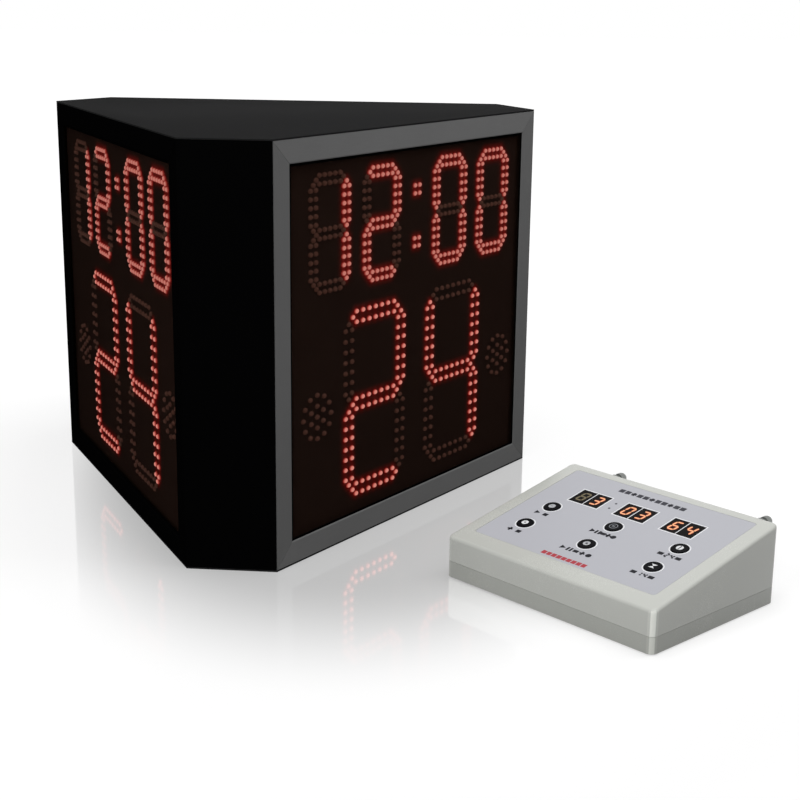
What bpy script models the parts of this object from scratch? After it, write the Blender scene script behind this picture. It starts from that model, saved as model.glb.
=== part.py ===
"""A three-sided shot clock display and its desk console, in metres, +Z up.

The origin lies in the middle of the display's underside. The display's plan is a triangle with its points
cut off, so its three faces and its three corners are each one shape, turned by thirds of a circle.
"""

from math import atan2, cos, pi, radians, sin, sqrt, tan

import bmesh
import bpy
from mathutils import Matrix, Vector

# Display case
display_height = 0.510
face_width = 0.574
corner_width = 0.109
plate_thickness = 0.002
corner_sheet = 0.002
gap = 0.0003

# Frame sections round each window
frame_border = 0.030
frame_depth = 0.022
lip_thickness = 0.0016
lip_overlap = 0.006
lip_chamfer = 0.0012
edge_chamfer = 0.001
window_thickness = 0.002

# Light-emitting diodes and their boards
board_thickness = 0.0016
led_height = 0.003
led_margin = 0.003
root_depth = 0.0008

# Rows of digits, from the window's top edge to its bottom edge
top_margin = 0.0156
row_gap = 0.028
bottom_margin = 0.0203

# The rows stand a little to the right of their window's middle
rows_aside = 0.008

# Game-clock digits, the upper row: a digit is two square cells, one above the other
small_cell = 0.0643
small_pair = 0.0102
small_corner = 0.00555
small_inner_offset = 0.0764
small_outer_offset = 0.1823
colon_offset = 0.0338

# Shot digits, the lower row, fill the height that is left, with a round lamp on each side
big_pair = 0.0133
big_corner = 0.0079
big_offset = 0.0889
lamp_radius = 0.0272
lamp_offset = 0.2077

# Power supply and control board
supply_length = 0.159
supply_width = 0.097
supply_height = 0.038
supply_distance = 0.170
terminal_depth = 0.014
terminal_height = 0.018
control_length = 0.120
control_width = 0.100
standoff_height = 0.012
standoff_radius = 0.0035
standoff_inset = 0.008
header_distance = 0.036
header_width = 0.026
header_depth = 0.006
header_height = 0.009
chip_size = 0.020
chip_height = 0.003

# Horn
horn_distance = 0.190
horn_radius = 0.045
horn_throat = 0.028
horn_height = 0.062
horn_rim = 0.008

# Sockets in the hidden corner panels
socket_height = 0.060
inlet_flange_width = 0.036
inlet_flange_height = 0.030
inlet_body_width = 0.0275
inlet_body_height = 0.021
inlet_mouth_width = 0.0235
inlet_mouth_height = 0.0165
inlet_mouth_depth = 0.015
inlet_depth = 0.022
flange_thickness = 0.0018
data_flange_radius = 0.011
data_barrel_radius = 0.008
data_barrel_length = 0.018
data_recess_radius = 0.0062
data_recess_depth = 0.0035
hole_clearance = 0.0003

# Leads and ribbon cables inside the display
mains_lead_radius = 0.0035
signal_lead_radius = 0.0025
lead_lift = 0.002
lead_straight = 0.020
lead_fall = 0.060
ribbon_width = 0.024
ribbon_thickness = 0.0012
ribbon_height = 0.060

# Console case
console_width = 0.306
console_depth = 0.223
console_front_height = 0.051
console_back_height = 0.096
console_wall = 0.0025
console_corner_radius = 0.008
console_edge_radius = 0.004
parting_height = 0.021
foot_height = 0.0012
foot_radius = 0.007
foot_inset = 0.022
console_turn = -0.736
console_front_left = (0.255, -0.352)

# Console panel, whose rows are measured down the slope from the lid's back edge
overlay_side_inset = 0.020
overlay_front_inset = 0.026
overlay_back_inset = 0.014
overlay_thickness = 0.0006
overlay_recess = 0.001
overlay_corner = 0.004
key_spacing = 0.0944
key_row_step = 0.048
key_radius = 0.0105
key_clearance = 0.0004
key_stand = 0.0012
key_dome = 0.0006
key_flange = 0.0022
key_flange_thickness = 0.0012
key_stem_radius = 0.003
key_stem_length = 0.004
key_travel = 0.0008
switch_size = 0.012
switch_height = 0.0036
plunger_radius = 0.0034
plunger_height = 0.0014
digit_row_inset = 0.0665
digit_to_key_row = 0.040
digit_spacing = 0.0685
digit_module_width = 0.043
digit_module_depth = 0.030
key_board_margin = 0.012
boss_radius = 0.004
boss_inset = 0.010

# Sockets in the console's back wall
rear_socket_cover = 0.0042
rear_socket_barrel = 0.005
rear_socket_flange = 0.0072
rear_socket_stand = 0.022
rear_socket_inside = 0.006
rear_socket_recess = 0.0036
lead_bend = 0.014
lead_landing = 0.012
power_socket_inset = 0.064
data_socket_inset = 0.029

# Places that follow from the sizes above
side = face_width + 2 * corner_width
face_distance = side / (2 * sqrt(3))
corner_distance = side / sqrt(3) - corner_width * sqrt(3) / 2
mitre = tan(radians(30))
half_face = face_width / 2
frame_bottom = plate_thickness + gap
frame_top = display_height - plate_thickness - gap
window_half = half_face - frame_border
window_bottom = frame_border
window_top = display_height - frame_border
small_half = small_cell + small_pair / 2 + led_margin
small_row = window_top - top_margin - small_half
row_split = small_row - small_half - row_gap / 2
big_half = (row_split - row_gap / 2 - window_bottom - bottom_margin) / 2
big_cell = big_half - big_pair / 2 - led_margin
big_row = window_bottom + bottom_margin + big_half
rebate_half = window_half + lip_overlap - gap
rebate_bottom = window_bottom - lip_overlap + gap
rebate_top = window_top + lip_overlap - gap
window_front = lip_thickness + gap
board_front = window_front + window_thickness + gap + led_height
board_back = board_front + board_thickness
floor_top = plate_thickness + gap
slope = atan2(console_back_height - console_front_height, console_depth)
panel_length = console_depth / cos(slope)
digit_row = panel_length - digit_row_inset
key_back_row = digit_row - digit_to_key_row
key_front_row = key_back_row - key_row_step
rear_socket_drop = rear_socket_cover + hole_clearance + rear_socket_barrel

FACES = {"right_face": 60, "back_face": 180, "left_face": 300}
CORNERS = {"front_corner": 0, "right_corner": 120, "left_corner": 240}


def clear_scene():
    for found in list(bpy.data.objects):
        bpy.data.objects.remove(found, do_unlink=True)


def paint(name, colour, roughness, metallic=0.0, alpha=1.0):
    """A plain finish: its colour is linear red, green and blue."""
    material = bpy.data.materials.new(name)
    material.use_nodes = True
    shader = material.node_tree.nodes["Principled BSDF"]
    shader.inputs["Base Color"].default_value = (*colour, 1.0)
    shader.inputs["Roughness"].default_value = roughness
    shader.inputs["Metallic"].default_value = metallic
    shader.inputs["Alpha"].default_value = alpha
    return material


def add_object(name, shape, material=None, place=None, parent=None, smooth=False):
    """Turns a bmesh into an object, with its faces pointing out."""
    bmesh.ops.recalc_face_normals(shape, faces=shape.faces)
    mesh = bpy.data.meshes.new(name)
    shape.to_mesh(mesh)
    shape.free()
    made = bpy.data.objects.new(name, mesh)
    bpy.context.scene.collection.objects.link(made)
    if material:
        mesh.materials.append(material)
    if smooth:
        mesh.shade_smooth()
        mesh.set_sharp_from_angle(angle=radians(35))
    made.parent = parent
    made.matrix_local = place or Matrix.Identity(4)
    return made


def add_empty(name, place, parent=None):
    made = bpy.data.objects.new(name, None)
    bpy.context.scene.collection.objects.link(made)
    made.parent = parent
    made.matrix_local = place
    return made


def turned(degrees):
    return Matrix.Rotation(radians(degrees), 4, "Z")


def extrude(shape, outline, start, end, to_space):
    """Adds a prism: to_space(a, b, c) places the outline's (a, b) points at the heights start and end."""
    low = [shape.verts.new(to_space(a, b, start)) for a, b in outline]
    high = [shape.verts.new(to_space(a, b, end)) for a, b in outline]
    shape.faces.new(low)
    shape.faces.new(high)
    for i, corner in enumerate(low):
        after = (i + 1) % len(low)
        shape.faces.new((corner, low[after], high[after], high[i]))
    return shape


def upright(a, b, c):
    return Vector((a, b, c))


def rectangle(width, depth, centre=(0, 0)):
    x, y = centre
    return [
        (x - width / 2, y - depth / 2),
        (x + width / 2, y - depth / 2),
        (x + width / 2, y + depth / 2),
        (x - width / 2, y + depth / 2),
    ]


def rounded_rectangle(left, right, front, back, radius, steps=3):
    """Points of a rectangle with round corners, anticlockwise."""
    centres = [
        (right - radius, front + radius, -90),
        (right - radius, back - radius, 0),
        (left + radius, back - radius, 90),
        (left + radius, front + radius, 180),
    ]
    points = []
    for x, y, start in centres:
        for step in range(steps + 1):
            angle = radians(start + 90 * step / steps)
            points.append((x + radius * cos(angle), y + radius * sin(angle)))
    return points


def circle(radius, count, centre=(0, 0)):
    x, y = centre
    angles = [2 * pi * (i + 0.5) / count for i in range(count)]
    return [(x + radius * cos(angle), y + radius * sin(angle)) for angle in angles]


def turn_profile(shape, profile, steps, place=None):
    """A solid of revolution about Z. The profile's (radius, height) points start and end on the axis."""
    place = place or Matrix.Identity(4)
    rings = []
    for radius, height in profile:
        if radius == 0:
            rings.append([shape.verts.new(place @ Vector((0, 0, height)))])
        else:
            points = circle(radius, steps)
            rings.append([shape.verts.new(place @ Vector((x, y, height))) for x, y in points])
    for lower, upper in zip(rings, rings[1:]):
        for i in range(steps):
            after = (i + 1) % steps
            corners = [lower[i % len(lower)], lower[after % len(lower)]]
            corners += [upper[after % len(upper)], upper[i % len(upper)]]
            shape.faces.new(list(dict.fromkeys(corners)))
    return shape


def cut_off(shape, point, normal):
    """Removes what lies beyond a plane, and closes the cut."""
    geometry = shape.verts[:] + shape.edges[:] + shape.faces[:]
    bmesh.ops.bisect_plane(shape, geom=geometry, plane_co=point, plane_no=normal, clear_outer=True)
    open_edges = [edge for edge in shape.edges if edge.is_boundary]
    bmesh.ops.holes_fill(shape, edges=open_edges, sides=0)


def combine(target, operation, shape, place=None, parent=None):
    """Joins a shape to an object, or cuts it out, and keeps the shape as a hidden helper."""
    helper = add_object(f"{target.name}_{operation.lower()}", shape, place=place, parent=parent)
    helper.hide_render = True
    helper.display_type = "WIRE"
    boolean = target.modifiers.new(operation.lower(), "BOOLEAN")
    boolean.operation = operation
    boolean.object = helper
    boolean.solver = "EXACT"
    return helper


def smooth_route(points, steps=5):
    """Points along a smooth curve that passes through the given ones."""
    ends = [2 * points[0] - points[1], *points, 2 * points[-1] - points[-2]]
    route = []
    for before, start, end, after in zip(ends, ends[1:], ends[2:], ends[3:]):
        for step in range(steps):
            t = step / steps
            route.append(
                0.5
                * (
                    2 * start
                    + (end - before) * t
                    + (2 * before - 5 * start + 4 * end - after) * t**2
                    + (3 * start - before - 3 * end + after) * t**3
                )
            )
    return [*route, points[-1]]


def add_lead(name, points, radius, material):
    curve = bpy.data.curves.new(name, "CURVE")
    curve.dimensions = "3D"
    curve.bevel_depth = radius
    curve.bevel_resolution = 2
    curve.use_fill_caps = True
    route = smooth_route([Vector(point) for point in points])
    spline = curve.splines.new("POLY")
    spline.points.add(len(route) - 1)
    for point, place in zip(spline.points, route):
        point.co = (*place, 1)
    curve.materials.append(material)
    made = bpy.data.objects.new(name, curve)
    bpy.context.scene.collection.objects.link(made)
    return made


def case_outline():
    """The display's plan: each face's ends, going round."""
    points = []
    for degrees in FACES.values():
        for x in (-half_face, half_face):
            points.append((turned(degrees) @ Vector((x, -face_distance, 0))).xy)
    return points


def add_plates(material):
    for name, low in (("base_plate", 0), ("top_plate", display_height - plate_thickness)):
        shape = extrude(bmesh.new(), case_outline(), low, low + plate_thickness, upright)
        add_object(name, shape, material)


def cut_at_corner(shape, side_sign):
    """Ends a frame section half a gap short of the case's corner."""
    corner = Vector((side_sign * half_face, -face_distance, 0))
    outwards = Vector((side_sign * cos(radians(30)), sin(radians(30)), 0))
    cut_off(shape, corner - outwards * gap / 2, outwards)


def mitre_plane(side_sign, outer, inner):
    """A point on the mitre between a rail and a stile, and its normal, which points to the stile."""
    to_middle = 1 if inner > outer else -1
    normal = Vector((side_sign * abs(inner - outer), 0, to_middle * frame_border))
    return Vector((side_sign * half_face, 0, outer)), normal.normalized()


def rail_outline(outer, inner):
    """A rail's section as (depth, height): a thin lip in front of the window, and a bar behind it."""
    inwards = 1 if inner > outer else -1
    return [
        (0, outer),
        (0, inner - inwards * lip_chamfer),
        (lip_chamfer, inner),
        (lip_thickness, inner),
        (lip_thickness, inner - inwards * lip_overlap),
        (frame_depth, inner - inwards * lip_overlap),
        (frame_depth, outer),
    ]


def stile_outline(side_sign):
    """A stile's section as (sideways, depth), with its outer side on the corner's bisector."""
    points = [
        (window_half + lip_chamfer, 0),
        (half_face - edge_chamfer, 0),
        (half_face - edge_chamfer * mitre, edge_chamfer),
        (half_face - frame_depth * mitre, frame_depth),
        (window_half + lip_overlap, frame_depth),
        (window_half + lip_overlap, lip_thickness),
        (window_half, lip_thickness),
        (window_half, lip_chamfer),
    ]
    return [(side_sign * x, depth) for x, depth in points]


def add_frame(face, place, material):
    def along_rail(depth, height, x):
        return Vector((x, depth - face_distance, height))

    def up_stile(x, depth, height):
        return Vector((x, depth - face_distance, height))

    rails = (("top_rail", frame_top, window_top), ("bottom_rail", frame_bottom, window_bottom))
    for name, outer, inner in rails:
        shape = extrude(bmesh.new(), rail_outline(outer, inner), -half_face, half_face, along_rail)
        for side_sign in (-1, 1):
            cut_at_corner(shape, side_sign)
            point, to_stile = mitre_plane(side_sign, outer, inner)
            cut_off(shape, point - to_stile * gap / 2, to_stile)
        add_object(f"{face}_{name}", shape, material, place)
    for name, side_sign in (("left_stile", -1), ("right_stile", 1)):
        shape = extrude(bmesh.new(), stile_outline(side_sign), frame_bottom, frame_top, up_stile)
        cut_at_corner(shape, side_sign)
        for _, outer, inner in rails:
            point, to_stile = mitre_plane(side_sign, outer, inner)
            cut_off(shape, point + to_stile * gap / 2, -to_stile)
        add_object(f"{face}_{name}", shape, material, place)


def add_window(face, place, material):
    def inside_lip(x, height, depth):
        return Vector((x, depth - face_distance, height))

    outline = [
        (-rebate_half, rebate_bottom),
        (rebate_half, rebate_bottom),
        (rebate_half, rebate_top),
        (-rebate_half, rebate_top),
    ]
    shape = extrude(bmesh.new(), outline, window_front, window_front + window_thickness, inside_lip)
    add_object(f"{face}_window", shape, material, place)


def segment_outline(centre, upright_bar, reach, half_thickness):
    """A segment's block: a bar with pointed ends, lying or standing."""
    shoulder = reach - half_thickness
    points = [
        (-reach, 0),
        (-shoulder, -half_thickness),
        (shoulder, -half_thickness),
        (reach, 0),
        (shoulder, half_thickness),
        (-shoulder, half_thickness),
    ]
    x, z = centre
    return [(x + b, z + a) if upright_bar else (x + a, z + b) for a, b in points]


def digit_outlines(centre, cell, pair, corner):
    """A digit's seven segments. Each holds a double row of LEDs, and ends short of the cell's corner."""
    x, z = centre
    reach = cell / 2 - corner + led_margin
    thickness = pair / 2 + led_margin
    outlines = [segment_outline((x, z + row * cell), False, reach, thickness) for row in (-1, 0, 1)]
    for column in (-0.5, 0.5):
        for row in (-0.5, 0.5):
            middle = (x + column * cell, z + row * cell)
            outlines.append(segment_outline(middle, True, reach, thickness))
    return outlines


def add_led_board(name, bottom, top, outlines, place, material):
    def behind_window(x, height, depth):
        return Vector((x, depth - face_distance, height))

    outline = [(-rebate_half, bottom), (rebate_half, bottom), (rebate_half, top), (-rebate_half, top)]
    shape = extrude(bmesh.new(), outline, board_front, board_back, behind_window)
    board = add_object(name, shape, material, place)
    blocks = bmesh.new()
    for block in outlines:
        extrude(blocks, block, board_front - led_height, board_front + root_depth, behind_window)
    combine(board, "UNION", blocks, place)


def add_led_boards(face, place, material):
    upper = []
    for offset in (small_inner_offset, small_outer_offset):
        for x in (rows_aside - offset, rows_aside + offset):
            upper += digit_outlines((x, small_row), small_cell, small_pair, small_corner)
    for rise in (-colon_offset, colon_offset):
        block = small_pair + 2 * led_margin
        upper.append(rectangle(block, block, (rows_aside, small_row + rise)))
    split = row_split + gap / 2
    add_led_board(f"{face}_upper_led_board", split, rebate_top, upper, place, material)
    lower = []
    for x in (rows_aside - big_offset, rows_aside + big_offset):
        lower += digit_outlines((x, big_row), big_cell, big_pair, big_corner)
    for x in (rows_aside - lamp_offset, rows_aside + lamp_offset):
        lower.append(circle(lamp_radius + led_margin, 16, (x, big_row)))
    split = row_split - gap / 2
    add_led_board(f"{face}_lower_led_board", rebate_bottom, split, lower, place, material)


def add_corner_panels(material):
    """Each strip's edges lie on the corners' bisectors, half a gap back."""
    back_off = gap / 2 / cos(radians(30))
    half = corner_width / 2 - back_off
    outline = [
        (-half, 0),
        (half, 0),
        (half - corner_sheet * mitre, corner_sheet),
        (corner_sheet * mitre - half, corner_sheet),
    ]

    def on_corner(x, depth, height):
        return Vector((x, depth - corner_distance, height))

    panels = {}
    for name, degrees in CORNERS.items():
        shape = extrude(bmesh.new(), outline, frame_bottom, frame_top, on_corner)
        panels[name] = add_object(f"{name}_panel", shape, material, turned(degrees))
    return panels


def socket_place(corner):
    """Z points out of the corner's sheet, X runs along it, and the origin is on its outer face."""
    degrees = CORNERS[corner]
    flat = Matrix.Rotation(radians(90), 4, "X")
    return turned(degrees) @ Matrix.Translation((0, -corner_distance, socket_height)) @ flat


def add_mains_inlet(panel, material):
    place = socket_place("right_corner")
    flange = rectangle(inlet_flange_width, inlet_flange_height)
    shape = extrude(bmesh.new(), flange, gap, gap + flange_thickness, upright)
    inlet = add_object("mains_inlet", shape, material, place)
    body = rectangle(inlet_body_width, inlet_body_height)
    depth = corner_sheet + inlet_depth
    combine(inlet, "UNION", extrude(bmesh.new(), body, -depth, gap + flange_thickness / 2, upright), place)
    mouth = rectangle(inlet_mouth_width, inlet_mouth_height)
    outside = gap + 2 * flange_thickness
    bottom = gap + flange_thickness - inlet_mouth_depth
    combine(inlet, "DIFFERENCE", extrude(bmesh.new(), mouth, bottom, outside, upright), place)
    clearance = 2 * hole_clearance
    hole = rectangle(inlet_body_width + clearance, inlet_body_height + clearance)
    cutter = extrude(bmesh.new(), hole, -2 * corner_sheet, corner_sheet, upright)
    combine(panel, "DIFFERENCE", cutter, place)


def socket_profile(flange_radius, barrel_radius, recess_radius, stand, inside):
    """A round panel socket: flange outside, barrel through the wall, shallow face with its pins' insert."""
    return [
        (0, -inside),
        (barrel_radius, -inside),
        (barrel_radius, gap),
        (flange_radius, gap),
        (flange_radius, gap + flange_thickness),
        (barrel_radius, gap + flange_thickness),
        (barrel_radius, stand),
        (recess_radius, stand),
        (recess_radius, stand - data_recess_depth),
        (0, stand - data_recess_depth),
    ]


def add_data_socket(panel, material):
    place = socket_place("left_corner")
    stand = gap + flange_thickness + data_recess_depth
    inside = data_barrel_length - stand
    profile = socket_profile(data_flange_radius, data_barrel_radius, data_recess_radius, stand, inside)
    add_object("data_socket", turn_profile(bmesh.new(), profile, 20), material, place, smooth=True)
    hole = circle(data_barrel_radius + hole_clearance, 20)
    cutter = extrude(bmesh.new(), hole, -2 * corner_sheet, corner_sheet, upright)
    combine(panel, "DIFFERENCE", cutter, place)
    return inside


def add_power_supply(material):
    """A closed box with a lower step at its inner end for the terminals."""
    def on_floor(distance, height, x):
        return Vector((x, -distance, height))

    near = supply_distance - supply_length / 2
    far = supply_distance + supply_length / 2
    outline = [
        (near, floor_top),
        (far, floor_top),
        (far, floor_top + supply_height),
        (near + terminal_depth, floor_top + supply_height),
        (near + terminal_depth, floor_top + terminal_height),
        (near, floor_top + terminal_height),
    ]
    half = supply_width / 2
    shape = extrude(bmesh.new(), outline, -half, half, on_floor)
    add_object("power_supply", shape, material, turned(CORNERS["right_corner"]))


def add_control_board(material):
    bottom = floor_top + standoff_height
    top = bottom + board_thickness
    plate = rectangle(control_length, control_width)
    board = add_object("control_board", extrude(bmesh.new(), plate, bottom, top, upright), material)
    pieces = bmesh.new()
    for x in (-1, 1):
        for y in (-1, 1):
            middle = (
                x * (control_length / 2 - standoff_inset),
                y * (control_width / 2 - standoff_inset),
            )
            extrude(pieces, circle(standoff_radius, 8, middle), floor_top, bottom + root_depth, upright)
    chip = rectangle(chip_size, chip_size)
    extrude(pieces, chip, top - root_depth, top + chip_height, upright)
    for degrees in FACES.values():
        place = turned(degrees)
        header = rectangle(header_width, header_depth, (0, -header_distance))
        extrude(
            pieces,
            header,
            top - root_depth,
            top + header_height,
            lambda a, b, c, place=place: place @ Vector((a, b, c)),
        )
    combine(board, "UNION", pieces)
    return top


def add_horn(material):
    profile = [
        (0, 0),
        (horn_radius, 0),
        (horn_radius, horn_rim),
        (horn_throat, horn_height / 2),
        (horn_throat, horn_height - horn_rim),
        (horn_throat - horn_rim, horn_height),
        (0, horn_height),
    ]
    place = Matrix.Translation((0, -horn_distance, floor_top))
    add_object("horn", turn_profile(bmesh.new(), profile, 24), material, place, smooth=True)


def add_ribbon_cables(control_top, material):
    """Each flat cable rises from its header, and runs out to the back of the lower board."""
    start = control_top + header_height + gap
    end = face_distance - board_back - gap
    rise = ribbon_height - start
    middle = (header_distance + end) / 2
    points = [
        Vector((header_distance, 0, start)),
        Vector((header_distance + rise * 0.1, 0, start + rise * 0.5)),
        Vector((header_distance + rise, 0, ribbon_height - rise * 0.1)),
        Vector((middle, 0, ribbon_height)),
        Vector((end - rise, 0, ribbon_height)),
        Vector((end, 0, ribbon_height)),
    ]
    route = smooth_route(points, 3)
    half = ribbon_thickness / 2
    upper, lower = [], []
    for i, point in enumerate(route):
        ahead = route[min(i + 1, len(route) - 1)] - route[max(i - 1, 0)]
        across = Vector((-ahead.z, 0, ahead.x)).normalized() * half
        if i == 0:
            across = Vector((-half, 0, 0))
        if i == len(route) - 1:
            across = Vector((0, 0, half))
        upper.append((point + across).xz)
        lower.append((point - across).xz)
    outline = upper + lower[::-1]

    def to_face(distance, height, x):
        return Vector((x, -distance, height))

    for face, degrees in FACES.items():
        shape = extrude(bmesh.new(), outline, -ribbon_width / 2, ribbon_width / 2, to_face)
        add_object(f"{face}_ribbon_cable", shape, material, turned(degrees))


def add_leads(data_inside, control_top, mains_material, signal_material):
    """Each lead ends one gap short of what it is wired to."""
    right = turned(CORNERS["right_corner"])
    left = turned(CORNERS["left_corner"])
    inlet_end = corner_distance - corner_sheet - inlet_depth - gap
    supply_end = supply_distance + supply_length / 2 + gap
    span = inlet_end - supply_end
    supply_level = floor_top + supply_height / 2
    mains = [
        (0, -inlet_end, socket_height),
        (0, -inlet_end + span * 0.25, socket_height - lead_lift),
        (0, -inlet_end + span * 0.5, (socket_height + supply_level) / 2),
        (0, -supply_end - span * 0.25, supply_level + lead_lift),
        (0, -supply_end, supply_level),
    ]
    add_lead("inlet_lead", [right @ Vector(p) for p in mains], mains_lead_radius, mains_material)

    terminal_end = supply_distance - supply_length / 2 - gap
    board_level = floor_top + standoff_height + board_thickness / 2
    along = Vector(right @ Vector((0, -1, 0)))
    edge = min(control_length / 2 / abs(along.x), control_width / 2 / abs(along.y))
    wired = edge + signal_lead_radius * abs(along.y / along.x) + gap
    output = [(0, -terminal_end, board_level), (0, -(terminal_end + wired) / 2, board_level)]
    output.append((0, -wired, board_level))
    add_lead("supply_lead", [right @ Vector(p) for p in output], signal_lead_radius, mains_material)

    socket_end = corner_distance - data_inside - gap
    low = floor_top + signal_lead_radius + lead_lift
    floor_end = socket_end - lead_straight - lead_fall
    data = [
        (0, -socket_end, socket_height),
        (0, -socket_end + lead_straight, socket_height - lead_lift),
        (0, -socket_end + lead_straight + lead_fall / 2, (socket_height + low) / 2),
        (0, -floor_end, low + lead_lift),
        (0, -(floor_end + wired) / 2, low),
        (0, -wired - 2 * lead_straight, low),
        (0, -wired - lead_straight, board_level - lead_lift),
        (0, -wired, board_level),
    ]
    add_lead("data_lead", [left @ Vector(p) for p in data], signal_lead_radius, signal_material)

    horn_edge = horn_distance - horn_radius - gap
    board_edge = control_width / 2 + gap
    horn_level = floor_top + horn_rim / 2
    horn_wire = [
        (0, -horn_edge, horn_level),
        (0, -(horn_edge * 2 + board_edge) / 3, horn_level),
        (0, -(horn_edge + board_edge * 2) / 3, (horn_level + board_level) / 2),
        (0, -board_edge, board_level),
    ]
    add_lead("horn_lead", horn_wire, signal_lead_radius, signal_material)


def wedge(inset, bottom, corner_radius, edge_radius, steps):
    """The console's outside, or its inside when inset: a box with a sloping top and round corners."""
    left, right = inset, console_width - inset
    front, back = inset, console_depth - inset
    outline = rounded_rectangle(left, right, front, back, corner_radius, steps)
    drop = inset / cos(slope)

    def top_height(y):
        return console_front_height + y * tan(slope) - drop

    shape = bmesh.new()
    low = [shape.verts.new((x, y, bottom)) for x, y in outline]
    high = [shape.verts.new((x, y, top_height(y))) for x, y in outline]
    shape.faces.new(low)
    lid = shape.faces.new(high)
    for i, corner in enumerate(low):
        after = (i + 1) % len(low)
        shape.faces.new((corner, low[after], high[after], high[i]))
    bmesh.ops.recalc_face_normals(shape, faces=shape.faces)
    if edge_radius:
        bmesh.ops.bevel(
            shape,
            geom=list(lid.edges),
            offset=edge_radius,
            segments=steps,
            profile=0.5,
            affect="EDGES",
            clamp_overlap=True,
        )
    return shape


def panel_point(u, v, n):
    """A point on the sloping panel: u across, v up the slope, n out of it."""
    height = console_front_height + v * sin(slope) + n * cos(slope)
    return Vector((u, v * cos(slope) - n * sin(slope), height))


def key_places():
    places = {}
    for row, v in (("back", key_back_row), ("front", key_front_row)):
        for column, step in (("left", -1), ("middle", 0), ("right", 1)):
            places[f"key_{row}_{column}"] = (console_width / 2 + step * key_spacing, v)
    return places


def digit_places():
    names = ("minutes_digits", "seconds_digits", "shot_digits")
    return {name: (console_width / 2 + (i - 1) * digit_spacing, digit_row) for i, name in enumerate(names)}


def panel_holes(shape, low, high, extra):
    """Adds the outlines of the six keys and three digit modules, each larger by extra, as prisms."""
    for u, v in key_places().values():
        extrude(shape, circle(key_radius + extra, 24, (u, v)), low, high, panel_point)
    for centre in digit_places().values():
        outline = rectangle(digit_module_width + 2 * extra, digit_module_depth + 2 * extra, centre)
        extrude(shape, outline, low, high, panel_point)
    return shape


def overlay_outline(shrink):
    return rounded_rectangle(
        overlay_side_inset + shrink,
        console_width - overlay_side_inset - shrink,
        overlay_front_inset + shrink,
        panel_length - overlay_back_inset - shrink,
        overlay_corner,
    )


def key_board_level():
    """The board's top face, down from the panel."""
    stem_end = console_wall + gap + key_flange_thickness + key_stem_length
    return -(stem_end + key_travel + gap + plunger_height + switch_height)


def board_outline():
    left = overlay_side_inset + key_board_margin
    right = console_width - left
    front = overlay_front_inset + key_board_margin
    back = panel_length - overlay_back_inset - key_board_margin
    return left, right, front, back


def boss_places():
    left, right, front, back = board_outline()
    across = (left + boss_inset, right - boss_inset)
    return [(u, v) for u in across for v in (front + boss_inset, back - boss_inset)]


def add_console_case(parent, material):
    bottom = foot_height + gap
    outline = rounded_rectangle(0, console_width, 0, console_depth, console_corner_radius, 4)
    shape = extrude(bmesh.new(), outline, bottom, parting_height - gap / 2, upright)
    base = add_object("console_base", shape, material, parent=parent, smooth=True)
    inner_radius = console_corner_radius - console_wall
    hollow = rounded_rectangle(
        console_wall,
        console_width - console_wall,
        console_wall,
        console_depth - console_wall,
        inner_radius,
        3,
    )
    cavity = extrude(bmesh.new(), hollow, bottom + console_wall, 2 * parting_height, upright)
    combine(base, "DIFFERENCE", cavity, parent=parent)

    lid_bottom = parting_height + gap / 2
    shape = wedge(0, lid_bottom, console_corner_radius, console_edge_radius, 4)
    lid = add_object("console_lid", shape, material, parent=parent, smooth=True)
    cavity = wedge(console_wall, lid_bottom - console_wall, inner_radius, 0, 3)
    combine(lid, "DIFFERENCE", cavity, parent=parent)
    bosses = bmesh.new()
    boss_end = key_board_level() + gap
    for middle in boss_places():
        extrude(bosses, circle(boss_radius, 10, middle), boss_end, -console_wall + root_depth, panel_point)
    combine(lid, "UNION", bosses, parent=parent)
    openings = extrude(bmesh.new(), overlay_outline(0), -overlay_recess, overlay_recess, panel_point)
    combine(lid, "DIFFERENCE", openings, parent=parent)
    holes = panel_holes(bmesh.new(), -2 * console_wall, overlay_recess / -2, key_clearance)
    combine(lid, "DIFFERENCE", holes, parent=parent)
    rear = bmesh.new()
    for x in rear_socket_places().values():
        radius = rear_socket_barrel + hole_clearance
        middle = (x, console_back_height - rear_socket_drop)
        extrude(rear, circle(radius, 16, middle), -2 * console_wall, console_wall, through_back)
    combine(lid, "DIFFERENCE", rear, parent=parent)


def through_back(x, height, out):
    return Vector((x, console_depth + out, height))


def rear_socket_places():
    return {
        "console_power_socket": power_socket_inset,
        "console_data_socket": console_width - data_socket_inset,
    }


def add_overlay(parent, material):
    top = gap + overlay_thickness - overlay_recess
    shape = extrude(bmesh.new(), overlay_outline(gap), top - overlay_thickness, top, panel_point)
    overlay = add_object("panel_overlay", shape, material, parent=parent)
    holes = panel_holes(bmesh.new(), -overlay_recess, overlay_recess, key_clearance)
    combine(overlay, "DIFFERENCE", holes, parent=parent)


def add_key_board(parent, material):
    top = key_board_level()
    left, right, front, back = board_outline()
    centre = ((left + right) / 2, (front + back) / 2)
    outline = rectangle(right - left, back - front, centre)
    shape = extrude(bmesh.new(), outline, top - board_thickness, top, panel_point)
    board = add_object("key_board", shape, material, parent=parent)
    switches = bmesh.new()
    for middle in key_places().values():
        block = rectangle(switch_size, switch_size, middle)
        extrude(switches, block, top - root_depth, top + switch_height, panel_point)
    combine(board, "UNION", switches, parent=parent)
    plungers = bmesh.new()
    for middle in key_places().values():
        start = top + switch_height - root_depth
        end = top + switch_height + plunger_height
        extrude(plungers, circle(plunger_radius, 10, middle), start, end, panel_point)
    combine(board, "UNION", plungers, parent=parent)


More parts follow.
